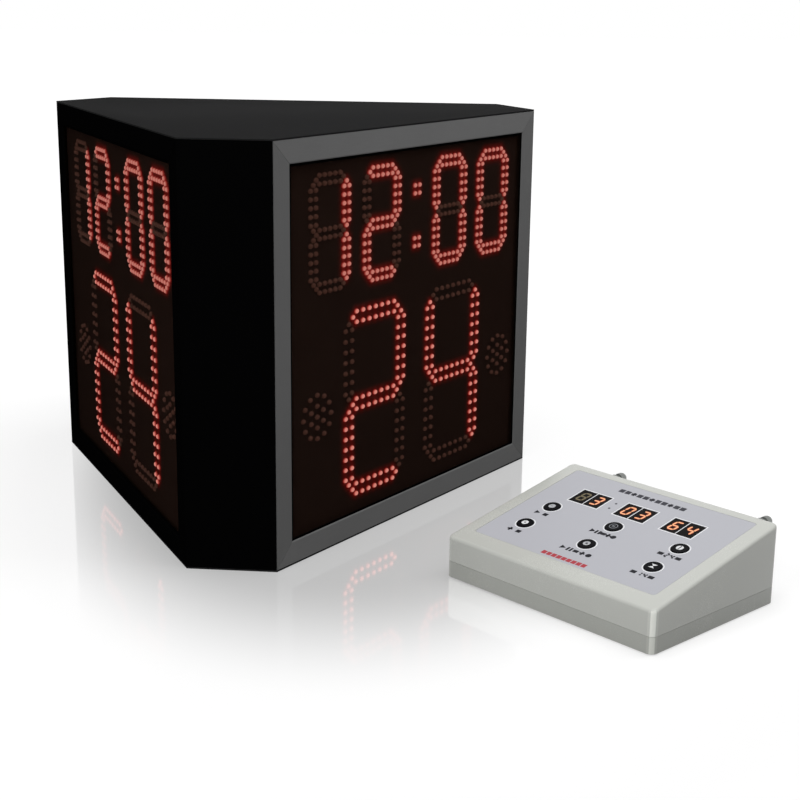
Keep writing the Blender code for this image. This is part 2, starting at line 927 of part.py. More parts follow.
def add_digit_modules(parent, material):
    bottom = key_board_level() + gap
    top = gap + overlay_thickness - overlay_recess
    for name, centre in digit_places().items():
        outline = rectangle(digit_module_width, digit_module_depth, centre)
        shape = extrude(bmesh.new(), outline, bottom, top, panel_point)
        add_object(name, shape, material, parent=parent)


def add_keys(parent, material):
    """Each key's origin is on its own axis, which stands square to the panel."""
    flange_top = -console_wall - gap
    flange_bottom = flange_top - key_flange_thickness
    profile = [
        (0, flange_bottom - key_stem_length),
        (key_stem_radius, flange_bottom - key_stem_length),
        (key_stem_radius, flange_bottom),
        (key_radius + key_flange, flange_bottom),
        (key_radius + key_flange, flange_top),
        (key_radius, flange_top),
        (key_radius, key_stand - key_dome),
        (key_radius - key_dome, key_stand),
        (0, key_stand),
    ]
    tilt = Matrix.Rotation(slope, 4, "X")
    for name, (u, v) in key_places().items():
        place = Matrix.Translation(panel_point(u, v, 0)) @ tilt
        shape = turn_profile(bmesh.new(), profile, 24)
        add_object(name, shape, material, place, parent, smooth=True)


def add_rear_sockets(parent, material):
    inside = rear_socket_inside
    profile = socket_profile(
        rear_socket_flange, rear_socket_barrel, rear_socket_recess, rear_socket_stand, inside
    )
    facing_back = Matrix.Rotation(radians(-90), 4, "X")
    height = console_back_height - rear_socket_drop
    for name, x in rear_socket_places().items():
        place = Matrix.Translation((x, console_depth, height)) @ facing_back
        add_object(name, turn_profile(bmesh.new(), profile, 16), material, place, parent, smooth=True)


def add_console_leads(parent, material):
    """From the back of each socket, down and under the key board's back edge, to its underside."""
    height = console_back_height - rear_socket_drop
    start = console_depth - rear_socket_inside - gap
    board_underside = key_board_level() - board_thickness - gap
    left, right, _, back = board_outline()
    for name, x in rear_socket_places().items():
        wired = min(max(x, left + lead_landing), right - lead_landing)
        points = [
            Vector((x, start, height)),
            Vector((x, start - lead_bend / 4, height)),
            Vector((x, start - lead_bend / 2, height)),
            Vector((x, start - lead_bend, height - lead_bend)),
            panel_point((x + wired) / 2, back + lead_bend / 4, board_underside - lead_bend * 2 / 3),
            panel_point(wired, back - lead_landing, board_underside - lead_bend * 2 / 3),
            panel_point(wired, back - lead_landing, board_underside - lead_bend / 3),
            panel_point(wired, back - lead_landing, board_underside),
        ]
        lead = add_lead(name.replace("socket", "lead"), points, signal_lead_radius, material)
        lead.parent = parent


def add_feet(parent, material):
    number = 0
    for x in (foot_inset, console_width - foot_inset):
        for y in (foot_inset, console_depth - foot_inset):
            number += 1
            shape = extrude(bmesh.new(), circle(foot_radius, 16, (x, y)), 0, foot_height, upright)
            add_object(f"console_foot_{number}", shape, material, parent=parent, smooth=True)


def build_display():
    frame_grey = paint("frame_grey", (0.084, 0.084, 0.084), 0.45, 0.3)
    frame_black = paint("frame_black", (0.012, 0.012, 0.012), 0.45, 0.3)
    sheet_black = paint("sheet_black", (0.012, 0.012, 0.012), 0.4)
    plate_grey = paint("plate_grey", (0.024, 0.024, 0.024), 0.5)
    smoked = paint("smoked_acrylic", (0.010, 0.005, 0.004), 0.08, alpha=0.5)
    board_black = paint("led_board_black", (0.020, 0.012, 0.010), 0.6)
    board_green = paint("board_green", (0.02, 0.10, 0.04), 0.5)
    steel = paint("zinc_steel", (0.55, 0.56, 0.58), 0.35, 1.0)
    black_plastic = paint("black_plastic", (0.015, 0.015, 0.015), 0.4)
    ribbon_grey = paint("ribbon_grey", (0.30, 0.31, 0.33), 0.6)
    add_plates(plate_grey)
    panels = add_corner_panels(sheet_black)
    for face, degrees in FACES.items():
        place = turned(degrees)
        add_frame(face, place, frame_black if face == "left_face" else frame_grey)
        add_window(face, place, smoked)
        add_led_boards(face, place, board_black)
    add_mains_inlet(panels["right_corner"], black_plastic)
    data_inside = add_data_socket(panels["left_corner"], steel)
    add_power_supply(steel)
    control_top = add_control_board(board_green)
    add_horn(black_plastic)
    add_ribbon_cables(control_top, ribbon_grey)
    add_leads(data_inside, control_top, black_plastic, ribbon_grey)


def build_console():
    shell_grey = paint("shell_grey", (0.60, 0.61, 0.57), 0.45)
    film_grey = paint("film_grey", (0.48, 0.49, 0.54), 0.35)
    key_black = paint("key_black", (0.012, 0.012, 0.013), 0.35)
    module_black = paint("module_black", (0.015, 0.012, 0.012), 0.3)
    board_green = paint("key_board_green", (0.02, 0.10, 0.04), 0.5)
    dark_metal = paint("dark_metal", (0.12, 0.13, 0.12), 0.4, 0.8)
    rubber = paint("foot_rubber", (0.02, 0.02, 0.02), 0.8)
    wire_grey = paint("wire_grey", (0.12, 0.12, 0.13), 0.6)
    x, y = console_front_left
    place = Matrix.Translation((x, y, 0)) @ Matrix.Rotation(console_turn, 4, "Z")
    console = add_empty("console_place", place)
    add_console_case(console, shell_grey)
    add_overlay(console, film_grey)
    add_key_board(console, board_green)
    add_digit_modules(console, module_black)
    add_keys(console, key_black)
    add_rear_sockets(console, dark_metal)
    add_console_leads(console, wire_grey)
    add_feet(console, rubber)


clear_scene()
build_display()
build_console()
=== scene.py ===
"""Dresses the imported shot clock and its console, piece by piece as they are put together.

The camera, the floor and the light come first. Lengths are in metres. The display stands on the
origin, with its cut-off front corner towards -Y.
"""

from math import atan2, cos, pi, radians, sin, sqrt

import bmesh
import bpy
import numpy as np
from mathutils import Matrix, Vector


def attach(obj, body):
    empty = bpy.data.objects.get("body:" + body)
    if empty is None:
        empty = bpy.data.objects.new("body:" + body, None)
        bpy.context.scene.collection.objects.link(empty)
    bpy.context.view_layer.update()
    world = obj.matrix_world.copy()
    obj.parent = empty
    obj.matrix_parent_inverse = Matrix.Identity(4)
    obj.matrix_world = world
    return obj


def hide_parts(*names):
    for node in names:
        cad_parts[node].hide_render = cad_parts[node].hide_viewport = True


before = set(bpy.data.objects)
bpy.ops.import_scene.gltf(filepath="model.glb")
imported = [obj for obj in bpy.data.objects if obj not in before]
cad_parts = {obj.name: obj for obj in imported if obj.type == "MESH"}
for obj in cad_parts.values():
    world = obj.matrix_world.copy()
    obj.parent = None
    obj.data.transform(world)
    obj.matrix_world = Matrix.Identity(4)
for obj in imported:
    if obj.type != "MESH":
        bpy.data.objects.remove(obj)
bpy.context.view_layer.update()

# ---- Camera
# It stands a little to the right of the display's front corner and looks down on it by 15 degrees.
# Its distance and its two offsets are in display heights, from the display's middle.
display_height = 0.510
azimuth = radians(4.691)
elevation = radians(15.043)
roll = radians(0.674)
back_off, aside, above = 4.158, 0.327, -0.268
focal_length, sensor_width = 69.4, 36


def add_object(name, data):
    """Puts an object in the scene."""
    made = bpy.data.objects.new(name, data)
    bpy.context.scene.collection.objects.link(made)
    return made


backwards = Vector((sin(azimuth) * cos(elevation), -cos(azimuth) * cos(elevation), sin(elevation)))
level = Vector((0, 0, 1)).cross(backwards).normalized()
upwards = backwards.cross(level)
camera_right = level * cos(roll) + upwards * sin(roll)
camera_up = upwards * cos(roll) - level * sin(roll)
standing = (backwards * back_off + camera_right * aside + camera_up * above) * display_height
camera = add_object("camera", bpy.data.cameras.new("camera"))
camera.data.lens = focal_length
camera.data.sensor_width = sensor_width
axes = Matrix((camera_right, camera_up, backwards)).transposed().to_4x4()
camera.matrix_world = Matrix.Translation(standing + Vector((0, 0, display_height / 2))) @ axes
bpy.context.scene.camera = camera
bpy.context.scene.view_settings.view_transform = "Standard"

# ---- Floor and light
# A white polished table top, which mirrors the display close to its foot and fades to plain white.
# A wide soft box hangs overhead, a small one stands beside the display on the right, a third in
# front on the left, and a strip light behind the camera.
floor_size = 40
floor_white, floor_roughness = 0.40, 0.06
fade_middle_x, fade_middle_y, fade_squeeze = 0.130, 0.400, 0.480
mirror_near, mirror_far, mirror_share = 0.375, 0.532, 0.455
lit_middle = (0.3, -0.6, 0)
lift_near, lift_far, least_lift = 0.3, 2.6, 0.61
room_light = 0.12


def feed(node, inputs):
    """Sets a node's inputs. Each value is a number, a colour or another node's output."""
    for name, value in inputs.items():
        if isinstance(value, bpy.types.NodeSocket):
            node.id_data.links.new(value, node.inputs[name])
        else:
            node.inputs[name].default_value = value


def add_node(tree, kind, inputs=None, **settings):
    made = tree.nodes.new(f"ShaderNode{kind}")
    for name, value in settings.items():
        setattr(made, name, value)
    feed(made, inputs or {})
    return made


def maths(tree, operation, *terms):
    return add_node(tree, "Math", dict(enumerate(terms)), operation=operation).outputs[0]


def seen_white(tree):
    """1 for what is seen, also in a mirror or through a window, and 0 for light that falls."""
    path = add_node(tree, "LightPath").outputs
    straight = maths(tree, "MAXIMUM", path["Is Camera Ray"], path["Is Glossy Ray"])
    seen = maths(tree, "MAXIMUM", straight, path["Is Transmission Ray"])
    scattered = maths(tree, "MINIMUM", path["Diffuse Depth"], 1.0)
    return maths(tree, "MULTIPLY", seen, maths(tree, "SUBTRACT", 1.0, scattered))


def floor_finish():
    material = bpy.data.materials.new("polished_white")
    material.use_nodes = True
    tree = material.node_tree
    tree.nodes.clear()
    place = add_node(tree, "NewGeometry").outputs["Position"]
    from_light = add_node(tree, "VectorMath", {0: place, 1: lit_middle}, operation="DISTANCE")
    offset = (-fade_middle_x, -fade_middle_y * fade_squeeze, 0)
    terms = {0: place, 1: (1, fade_squeeze, 1), 2: offset}
    squeezed = add_node(tree, "VectorMath", terms, operation="MULTIPLY_ADD")
    from_middle = add_node(tree, "VectorMath", {0: squeezed.outputs[0]}, operation="LENGTH")
    mirror_range = {1: mirror_near, 2: mirror_far, 3: mirror_share, 4: 0.0}
    mirror = add_node(tree, "MapRange", mirror_range, interpolation_type="SMOOTHSTEP")
    feed(mirror, {"Value": from_middle.outputs["Value"]})
    lift_range = {1: lift_near, 2: lift_far, 3: least_lift, 4: 1.0}
    lift = add_node(tree, "MapRange", lift_range)
    feed(lift, {"Value": from_light.outputs["Value"]})
    white = add_node(tree, "BsdfDiffuse", {"Color": (floor_white, floor_white, floor_white, 1)})
    strength = maths(tree, "MULTIPLY", lift.outputs[0], seen_white(tree))
    shine = add_node(tree, "Emission", {"Strength": strength})
    matt = add_node(tree, "AddShader", {0: white.outputs[0], 1: shine.outputs[0]})
    gloss = add_node(tree, "BsdfGlossy", {"Color": (1, 1, 1, 1), "Roughness": floor_roughness})
    layers = {0: mirror.outputs[0], 1: matt.outputs[0], 2: gloss.outputs[0]}
    both = add_node(tree, "MixShader", layers)
    add_node(tree, "OutputMaterial", {"Surface": both.outputs[0]})
    return material


def box_outline(width, depth, centre=(0, 0)):
    x, y = centre
    a, b = width / 2, depth / 2
    return [(x - a, y - b), (x + a, y - b), (x + a, y + b), (x - a, y + b)]


floor_mesh = bpy.data.meshes.new("floor")
corners = [(x, y, 0) for x, y in box_outline(floor_size, floor_size)]
floor_mesh.from_pydata(corners, [], [(0, 1, 2, 3)])
floor_mesh.materials.append(floor_finish())
floor = add_object("floor", floor_mesh)

room = bpy.data.worlds.new("pale_room")
bpy.context.scene.world = room
room.use_nodes = True
room_level = maths(room.node_tree, "MAXIMUM", seen_white(room.node_tree), room_light)
feed(room.node_tree.nodes["Background"], {"Color": (1, 1, 1, 1), "Strength": room_level})

# Each lamp's name, place, target, size and watts, and whether mirrors and pictures show it
soft_boxes = (
    ("overhead_soft_box", (0.4, -0.4, 2.6), (0.15, -0.15, 0.2), (1.8, 1.8), 44, False),
    ("right_soft_box", (1.1, -0.2, 1.1), (0.3, 0.0, 0.4), (0.5, 0.5), 3, False),
    ("left_soft_box", (-0.9, -2.2, 1.4), (0.3, -0.3, 0.1), (1.2, 1.2), 18, True),
    ("strip_light", (-0.1, -3.4, 0.9), (0.4, -0.3, 0.1), (0.3, 1.0), 15, True),
)
for name, place, target, size, power, seen in soft_boxes:
    light = bpy.data.lights.new(name, "AREA")
    light.shape = "RECTANGLE"
    light.size, light.size_y = size
    light.energy = power
    lamp = add_object(name, light)
    lamp.rotation_mode = "QUATERNION"
    lamp.rotation_quaternion = (Vector(place) - Vector(target)).to_track_quat("Z", "Y")
    lamp.location = place
    lamp.visible_glossy = lamp.visible_camera = seen

# ---- Base plate and top plate
# Two laser-cut steel sheets, powder coated in a dark satin grey, close the display below and above.
# The coat has a fine orange-peel skin, and the cut edges are rounded by its thickness.
cloud_scale, cloud_detail, grain_detail = 14.0, 4.0, 2.0
weld_distance = 0.00001
sharp_angle = radians(35)


def new_group(name, inputs, outputs):
    """An empty shader node group. Inputs and outputs are (name, kind, default) and (name, kind)."""
    group = bpy.data.node_groups.new(name, "ShaderNodeTree")
    for title, kind, value in inputs:
        socket = group.interface.new_socket(title, in_out="INPUT", socket_type=f"NodeSocket{kind}")
        socket.default_value = value
    for title, kind in outputs:
        group.interface.new_socket(title, in_out="OUTPUT", socket_type=f"NodeSocket{kind}")
    start = group.nodes.new("NodeGroupInput")
    end = group.nodes.new("NodeGroupOutput")
    return group, start.outputs, end


def build_skin_grain():
    """Fine bumps, and slow clouds that shift the colour and the roughness a little."""
    group, given, end = new_group(
        "skin_grain",
        [
            ("Color", "Color", (0.5, 0.5, 0.5, 1)),
            ("Grain Size", "Float", 0.001),
            ("Stretch", "Vector", (1, 1, 1)),
            ("Cloud Share", "Float", 0.1),
            ("Roughness", "Float", 0.5),
            ("Roughness Share", "Float", 0.15),
        ],
        [("Color", "Color"), ("Roughness", "Float"), ("Height", "Float")],
    )
    place = add_node(group, "TexCoord").outputs["Object"]
    stretched = add_node(group, "VectorMath", {0: place, 1: given["Stretch"]}, operation="MULTIPLY")
    fine_scale = maths(group, "DIVIDE", 1.0, given["Grain Size"])
    fine_inputs = {"Vector": stretched.outputs[0], "Scale": fine_scale, "Detail": grain_detail}
    fine = add_node(group, "TexNoise", fine_inputs).outputs["Fac"]
    cloud_inputs = {"Vector": place, "Scale": cloud_scale, "Detail": cloud_detail}
    cloud = add_node(group, "TexNoise", cloud_inputs).outputs["Fac"]
    swing = maths(group, "SUBTRACT", maths(group, "ADD", fine, cloud), 1.0)
    gain = maths(group, "MULTIPLY_ADD", swing, given["Cloud Share"], 1.0)
    tinted = add_node(group, "VectorMath", {0: given["Color"], "Scale": gain}, operation="SCALE")
    rough = maths(group, "MULTIPLY_ADD", swing, given["Roughness Share"], given["Roughness"])
    feed(end, {"Color": tinted.outputs[0], "Roughness": rough, "Height": fine})
    return group


skin_grain = build_skin_grain()


def finish(
    name, colour, grain, roughness, bump, shine=0.5, cloud=0.12, spread=0.12, stretch=(1, 1, 1),
    **more
):
    """A skinned material. The colour is linear, grain is a bump's size, and bump is its height."""
    material = bpy.data.materials.new(name)
    material.use_nodes = True
    tree = material.node_tree
    given = {"Color": (*colour, 1), "Grain Size": grain, "Stretch": stretch, "Cloud Share": cloud}
    given |= {"Roughness": roughness, "Roughness Share": spread}
    skin = add_node(tree, "Group", given, node_tree=skin_grain).outputs
    relief = add_node(tree, "Bump", {"Height": skin["Height"], "Strength": 1.0, "Distance": bump})
    shader = tree.nodes["Principled BSDF"]
    feed(shader, {"Base Color": skin["Color"], "Roughness": skin["Roughness"]})
    feed(shader, {"Normal": relief.outputs["Normal"], "Specular IOR Level": shine})
    feed(shader, {title.replace("_", " "): value for title, value in more.items()})
    return material


def build_smoothing():
    """A mesh node group that joins doubled points and shades all but the sharp edges smooth."""
    group = bpy.data.node_groups.new("smooth_by_angle", "GeometryNodeTree")
    for way in ("INPUT", "OUTPUT"):
        group.interface.new_socket("Geometry", in_out=way, socket_type="NodeSocketGeometry")
    start = group.nodes.new("NodeGroupInput")
    merge = group.nodes.new("GeometryNodeMergeByDistance")
    faces = group.nodes.new("GeometryNodeSetShadeSmooth")
    angle = group.nodes.new("GeometryNodeInputMeshEdgeAngle")
    sharp = group.nodes.new("FunctionNodeCompare")
    edges = group.nodes.new("GeometryNodeSetShadeSmooth")
    edges.domain = "EDGE"
    end = group.nodes.new("NodeGroupOutput")
    feed(merge, {"Geometry": start.outputs[0], "Distance": weld_distance})
    feed(faces, {"Geometry": merge.outputs["Geometry"]})
    feed(sharp, {"A": angle.outputs["Unsigned Angle"], "B": sharp_angle})
    feed(edges, {"Geometry": faces.outputs["Geometry"], "Selection": sharp.outputs["Result"]})
    feed(edges, {"Shade Smooth": False})
    feed(end, {0: edges.outputs["Geometry"]})
    return group


smooth_by_angle = build_smoothing()


def dress(nodes, material, edge=0.0):
    """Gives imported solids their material, and rounds their sharp edges by the width edge."""
    for name in nodes:
        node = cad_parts[name]
        node.data.materials.clear()
        node.data.materials.append(material)
        if edge:
            weld = node.modifiers.new("weld", "WELD")
            weld.merge_threshold = weld_distance
            bevel = node.modifiers.new("edges", "BEVEL")
            bevel.width = edge
            bevel.segments = 2
            bevel.limit_method = "ANGLE"
            bevel.angle_limit = sharp_angle
        smooth = node.modifiers.new("smooth", "NODES")
        smooth.node_group = smooth_by_angle


plate_grey = (0.0165, 0.0165, 0.0167)
plate_finish = finish("plate_powder_coat", plate_grey, 0.0011, 0.7, 0.00006, shine=0.0010)
dress(["base_plate", "top_plate"], plate_finish, edge=0.0004)

# ---- Corner panels
# Three black sheet strips, folded to meet the faces at the cut-off corners of the case. The two
# hidden ones are held by round-headed screws near their ends.
corner_width = 0.109
corner_distance = 0.3629
screw_rise, screw_spread, corner_screw_radius = 0.016, 0.040, 0.0029
screw_sides = 20
# Near-black coat of the corner panels, also used as painted shade on the left face's frame.
black_coat_and_shade = (0.0014, 0.0014, 0.0015)
corner_finish = finish("corner_black_coat", black_coat_and_shade, 0.0012, 0.6, 0.00004, shine=0.0)
corner_panels = [f"{corner}_corner_panel" for corner in ("front", "right", "left")]
dress(corner_panels, corner_finish, edge=0.0003)


def round_outline(radius, steps=24, centre=(0, 0), turn=0.5):
    """A circle's corners, the first one turned by a share of a step."""
    x, y = centre
    angles = [2 * pi * (i + turn) / steps for i in range(steps)]
    return [(x + radius * cos(angle), y + radius * sin(angle)) for angle in angles]


def add_prism(shape, outline, low, high, taper=1.0):
    """A solid with the outline's section from low to high, its top drawn in by taper."""
    a, b = (sum(values) / len(outline) for values in zip(*outline))
    narrow = [(a + (x - a) * taper, b + (y - b) * taper) for x, y in outline]
    bottom = [shape.verts.new((x, y, low)) for x, y in outline]
    top = [shape.verts.new((x, y, high)) for x, y in narrow]
    shape.faces.new(bottom)
    shape.faces.new(top)
    for i, corner in enumerate(bottom):
        after = (i + 1) % len(bottom)
        shape.faces.new((corner, bottom[after], top[after], top[i]))


def add_band(shape, rings):
    """A closed band of (outline, height) rings, each joined to the next, the last to the first."""
    loops = [[shape.verts.new((x, y, height)) for x, y in outline] for outline, height in rings]
    for ring, loop in enumerate(loops):
        beyond = loops[(ring + 1) % len(loops)]
        for i in range(len(loop)):
            after = (i + 1) % len(loop)
            shape.faces.new((loop[i], loop[after], beyond[after], beyond[i]))


def turn_profile(shape, profile, steps, place):
    """A solid turned about Z, from (radius, height) points that start and end on the axis."""
    rings = []
    for radius, height in profile:
        points = round_outline(radius, steps) if radius else [(0, 0)]
        rings.append([shape.verts.new(place @ Vector((x, y, height))) for x, y in points])
    for lower, upper in zip(rings, rings[1:]):
        for i in range(steps):
            after = (i + 1) % steps
            corners = [lower[i % len(lower)], lower[after % len(lower)]]
            corners += [upper[after % len(upper)], upper[i % len(upper)]]
            shape.faces.new(list(dict.fromkeys(corners)))


def add_mesh(name, mesh, material, body):
    """Puts a finished mesh in the scene, on the body that carries it."""
    mesh.materials.append(material)
    made = add_object(name, mesh)
    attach(made, body)
    return made


def add_piece(name, shape, material, body, place=None):
    """Turns a bmesh into a piece of the scene."""
    bmesh.ops.recalc_face_normals(shape, faces=shape.faces)
    mesh = bpy.data.meshes.new(name)
    shape.to_mesh(mesh)
    shape.free()
    if place:
        mesh.transform(place)
    mesh.shade_smooth()
    mesh.set_sharp_from_angle(angle=sharp_angle)
    return add_mesh(name, mesh, material, body)


def add_screw(shape, place, radius):
    """A round screw head on the plane of place. Two thin bars stand for its cross recess."""
    height = radius * 0.45
    profile = [(0, 0), (radius, 0), (radius * 0.96, height * 0.5), (radius * 0.7, height * 0.92)]
    turn_profile(shape, [*profile, (radius * 0.5, height), (0, height)], screw_sides, place)
    slot_length, slot_width, slot_rise = radius, radius * 0.2, radius * 0.02
    for turn in (0, pi / 2):
        turned = place @ Matrix.Rotation(turn, 4, "Z")
        before = set(shape.verts)
        add_prism(shape, box_outline(slot_length, slot_width), height, height + slot_rise)
        added = [corner for corner in shape.verts if corner not in before]
        bmesh.ops.transform(shape, matrix=turned, verts=added)


facing_front = Matrix.Rotation(radians(90), 4, "X")


def on_corner(turn, across, height):
    """A place on a corner panel's outer side, with Z pointing out of it and X to the right."""
    on_front = Matrix.Translation((across, -corner_distance, height)) @ facing_front
    return Matrix.Rotation(radians(turn), 4, "Z") @ on_front


screw_finish = finish("black_zinc", (0.035, 0.035, 0.037), 0.0008, 0.35, 0.00002, Metallic=0.9)
for corner, turn in (("right_corner", 120), ("left_corner", 240)):
    heads = bmesh.new()
    for across in (-screw_spread, screw_spread):
        for height in (screw_rise, display_height - screw_rise):
            add_screw(heads, on_corner(turn, across, height), corner_screw_radius)
    add_piece(f"{corner}_screws", heads, screw_finish, "root")

# ---- Frame sections
# Mitred bars round each window, extruded and coated, with a chamfered lip towards the window. Fine
# drawing lines run along each bar, so the grain of the rails lies across that of the stiles.
FACE_TURNS = {"right_face": 60, "back_face": 180, "left_face": 300}
dark_grey = (0.143, 0.143, 0.143)
frame_coats_and_shade = {
    "right_face": (dark_grey, 0.02),
    "back_face": (dark_grey, 0.02),
    # Painted shade: the left face's bars are the same coat, painted near black as if in shade.
    "left_face": (black_coat_and_shade, 0.0),
}
# Each kind of bar, its painted lightness, the stretch of its drawing lines, and where its two bars
# are.
# Painted light: the rails are made paler than the stiles of the same coat, for the light the top
# rail catches.
frame_bars = (
    ("rail", 1.14, (0.05, 0.05, 1), ("top", "bottom")),
    ("stile", 1.0, (1, 1, 0.05), ("left", "right")),
)
for face, (coat, shine) in frame_coats_and_shade.items():
    for bar, painted_light_gain, stretch, ends in frame_bars:
        tint = [painted_light_gain * share for share in coat]
        name = f"{face}_{bar}_coat"
        bar_coat = finish(name, tint, 0.0010, 0.5, 0.00002, shine, stretch=stretch)
        dress([f"{face}_{end}_{bar}" for end in ends], bar_coat)

# ---- LED boards
# Two black circuit boards stand behind each window, and carry 606 red 5 mm LEDs in double rows, a
# little to the right of the window's middle. Lit LEDs have a pale tip and a red body. The board
# between them shines dark red, a painted glow, and the unlit LEDs shine faintly as painted glow
# too.
face_width = 0.574
side = face_width + 2 * corner_width
face_distance = side / (2 * sqrt(3))
board_front = 0.0072
board_thickness = 0.0016
board_half = 0.2627
board_low, board_split, board_high = 0.0243, 0.3056, 0.4857
small_row, small_cell, small_pair = 0.392, 0.0643, 0.0102
small_pitch, small_pairs, small_tip = 0.0102, 5, 0.0062
rows_aside = 0.008
small_places = (-0.1823, -0.0764, 0.0764, 0.1823)
big_row, big_cell, big_pair = 0.17095, 0.111, 0.0133
big_pitch, big_pairs, big_tip = 0.0133, 7, 0.0077
big_places = (-0.0889, 0.0889)
colon_rise = 0.0338
lamp_place = 0.2077
lamp_rings = ((0.0, 1, 0.0), (0.0136, 6, 0.5), (0.0272, 12, 0.0))
# The seven segments by their usual letters: a to f run clockwise from the top, and g is the middle
# one. Each has its place in cells, and whether it lies down.
SEGMENTS = {
    "a": (0, 1, True),
    "g": (0, 0, True),
    "d": (0, -1, True),
    "f": (-0.5, 0.5, False),
    "b": (0.5, 0.5, False),
    "e": (-0.5, -0.5, False),
    "c": (0.5, -0.5, False),
}
NUMERALS = {
    "0": "abcdef", "1": "bc", "2": "abdeg", "3": "abcdg", "4": "bcfg", "6": "acdefg", "8": "abcdefg"
}
# An LED's rings as (radius, height), and the ring below its tip
led_rings = ((0.0033, 0.0), (0.0033, 0.0005), (0.0030, 0.0006), (0.0028, 0.0015), (0.0021, 0.0023))
led_crown = (0.0011, 0.0027)
led_oval = 1.32
led_tip = 0.0028
led_sides = 10
led_sharp_angle = radians(60)
glow_reach = 0.0036
grid_step = 0.0026


def digit_leds(numeral, centre, cell, pair, pitch, pairs, tip):
    """Yields each LED's place on the face, and whether it is lit."""
    for name, (across, up, lying_down) in SEGMENTS.items():
        middle = (centre[0] + across * cell, centre[1] + up * cell)
        reach = (pairs - 1) / 2
        along = [((i - reach) * pitch, row * pair / 2) for i in range(pairs) for row in (-1, 1)]
        along += [(-reach * pitch - tip, 0), (reach * pitch + tip, 0)]
        for a, b in along:
            x, z = (a, b) if lying_down else (b, a)
            yield middle[0] + x, middle[1] + z, name in NUMERALS[numeral]


def upper_leds():
    """The game clock: four small digits and a colon."""
    for numeral, x in zip("1200", small_places):
        centre = (rows_aside + x, small_row)
        yield from digit_leds(
            numeral, centre, small_cell, small_pair, small_pitch, small_pairs, small_tip
        )
    for rise in (-colon_rise, colon_rise):
        for a in (-0.5, 0.5):
            for b in (-0.5, 0.5):
                yield rows_aside + a * small_pair, small_row + rise + b * small_pair, True


def lower_leds():
    """The shot clock: two big digits, and a round lamp on each side that isn't lit."""
    for numeral, x in zip("24", big_places):
        centre = (rows_aside + x, big_row)
        yield from digit_leds(numeral, centre, big_cell, big_pair, big_pitch, big_pairs, big_tip)
    for x in (rows_aside - lamp_place, rows_aside + lamp_place):
        for radius, count, turn in lamp_rings:
            for i in range(count):
                angle = 2 * pi * (i + turn) / count
                yield x + radius * cos(angle), big_row + radius * sin(angle), False


def led_bulbs(name, places):
    """Oval bulbs that point out of the face. Their attribute rise goes from 0 to 1 at the tip."""
    ring_points = []
    for radius, height in (*led_rings, led_crown):
        for i in range(led_sides):
            angle = 2 * pi * i / led_sides
            across = radius * led_oval * cos(angle)
            ring_points.append((across, board_front - height, radius * sin(angle)))
    template = np.array([*ring_points, (0, board_front - led_tip, 0)])
    rise = (board_front - template[:, 1]) / led_tip
    faces = []
    rings = len(led_rings) + 1
    for ring in range(rings - 1):
        for i in range(led_sides):
            after = (i + 1) % led_sides
            low, high = ring * led_sides, (ring + 1) * led_sides
            faces.append((low + i, low + after, high + after, high + i))
    crown = (rings - 1) * led_sides
    tip = len(template) - 1
    faces += [(crown + i, crown + (i + 1) % led_sides, tip) for i in range(led_sides)]
    faces.append(tuple(reversed(range(led_sides))))
    points, all_faces = [], []
    for number, (x, z) in enumerate(places):
        points.extend((template + np.array((x, -face_distance, z))).tolist())
        start = number * len(template)
        all_faces += [tuple(start + corner for corner in corners) for corners in faces]
    mesh = bpy.data.meshes.new(name)
    mesh.from_pydata(points, [], all_faces)
    mesh.shade_smooth()
    mesh.set_sharp_from_angle(angle=led_sharp_angle)
    attribute = mesh.attributes.new("rise", "FLOAT", "POINT")
    attribute.data.foreach_set("value", np.tile(rise, len(places)).astype(np.float32))
    return mesh


def board_sheet(name, low, high, lit_places):
    """A board with a fine grid, whose attribute glow is the painted light that lit LEDs shed on it.
    """
    columns = round(2 * board_half / grid_step)
    rows = round((high - low) / grid_step)
    xs = np.linspace(-board_half, board_half, columns + 1)
    zs = np.linspace(low, high, rows + 1)
    shape = bmesh.new()
    verts = [shape.verts.new((x, board_front - face_distance, z)) for z in zs for x in xs]
    stride = columns + 1
    for row in range(rows):
        for column in range(columns):
            start = row * stride + column
            beyond = start + stride
            shape.faces.new((verts[start], verts[start + 1], verts[beyond + 1], verts[beyond]))
    top_left, top_right = rows * stride, rows * stride + columns
    rim = [*range(columns), *range(columns, top_right, stride)]
    rim += [*range(top_right, top_left, -1), *range(top_left, 0, -stride)]
    front = [verts[number] for number in rim]
    back = [shape.verts.new(corner.co + Vector((0, board_thickness, 0))) for corner in front]
    for i, corner in enumerate(front):
        after = (i + 1) % len(front)
        shape.faces.new((corner, front[after], back[after], back[i]))
    shape.faces.new(back)
    bmesh.ops.recalc_face_normals(shape, faces=shape.faces)
    mesh = bpy.data.meshes.new(name)
    shape.to_mesh(mesh)
    shape.free()
    lights = np.array(lit_places)
    places = np.array([vertex.co for vertex in mesh.vertices])
    across = places[:, None, 0] - lights[None, :, 0]
    up = places[:, None, 2] - lights[None, :, 1]
    glow = np.exp(-(across**2 + up**2) / (2 * glow_reach**2)).sum(axis=1)
    attribute = mesh.attributes.new("glow", "FLOAT", "POINT")
    attribute.data.foreach_set("value", glow.astype(np.float32))
    return mesh


def light_up(material, attribute, stops, strength):
    """Makes a finish shine along an attribute of its mesh. Stops are (value, linear colour)."""
    tree = material.node_tree
    value = add_node(tree, "Attribute", attribute_name=attribute).outputs["Fac"]
    ramp = add_node(tree, "ValToRGB", {"Fac": value})
    band = ramp.color_ramp.elements
    while len(band) < len(stops):
        band.new(0.5)
    for element, (position, colour) in zip(band, stops):
        element.position = position
        element.color = (*colour, 1)
    shader = tree.nodes["Principled BSDF"]
    feed(shader, {"Emission Color": ramp.outputs["Color"], "Emission Strength": strength})
    material.cycles.emission_sampling = "NONE"


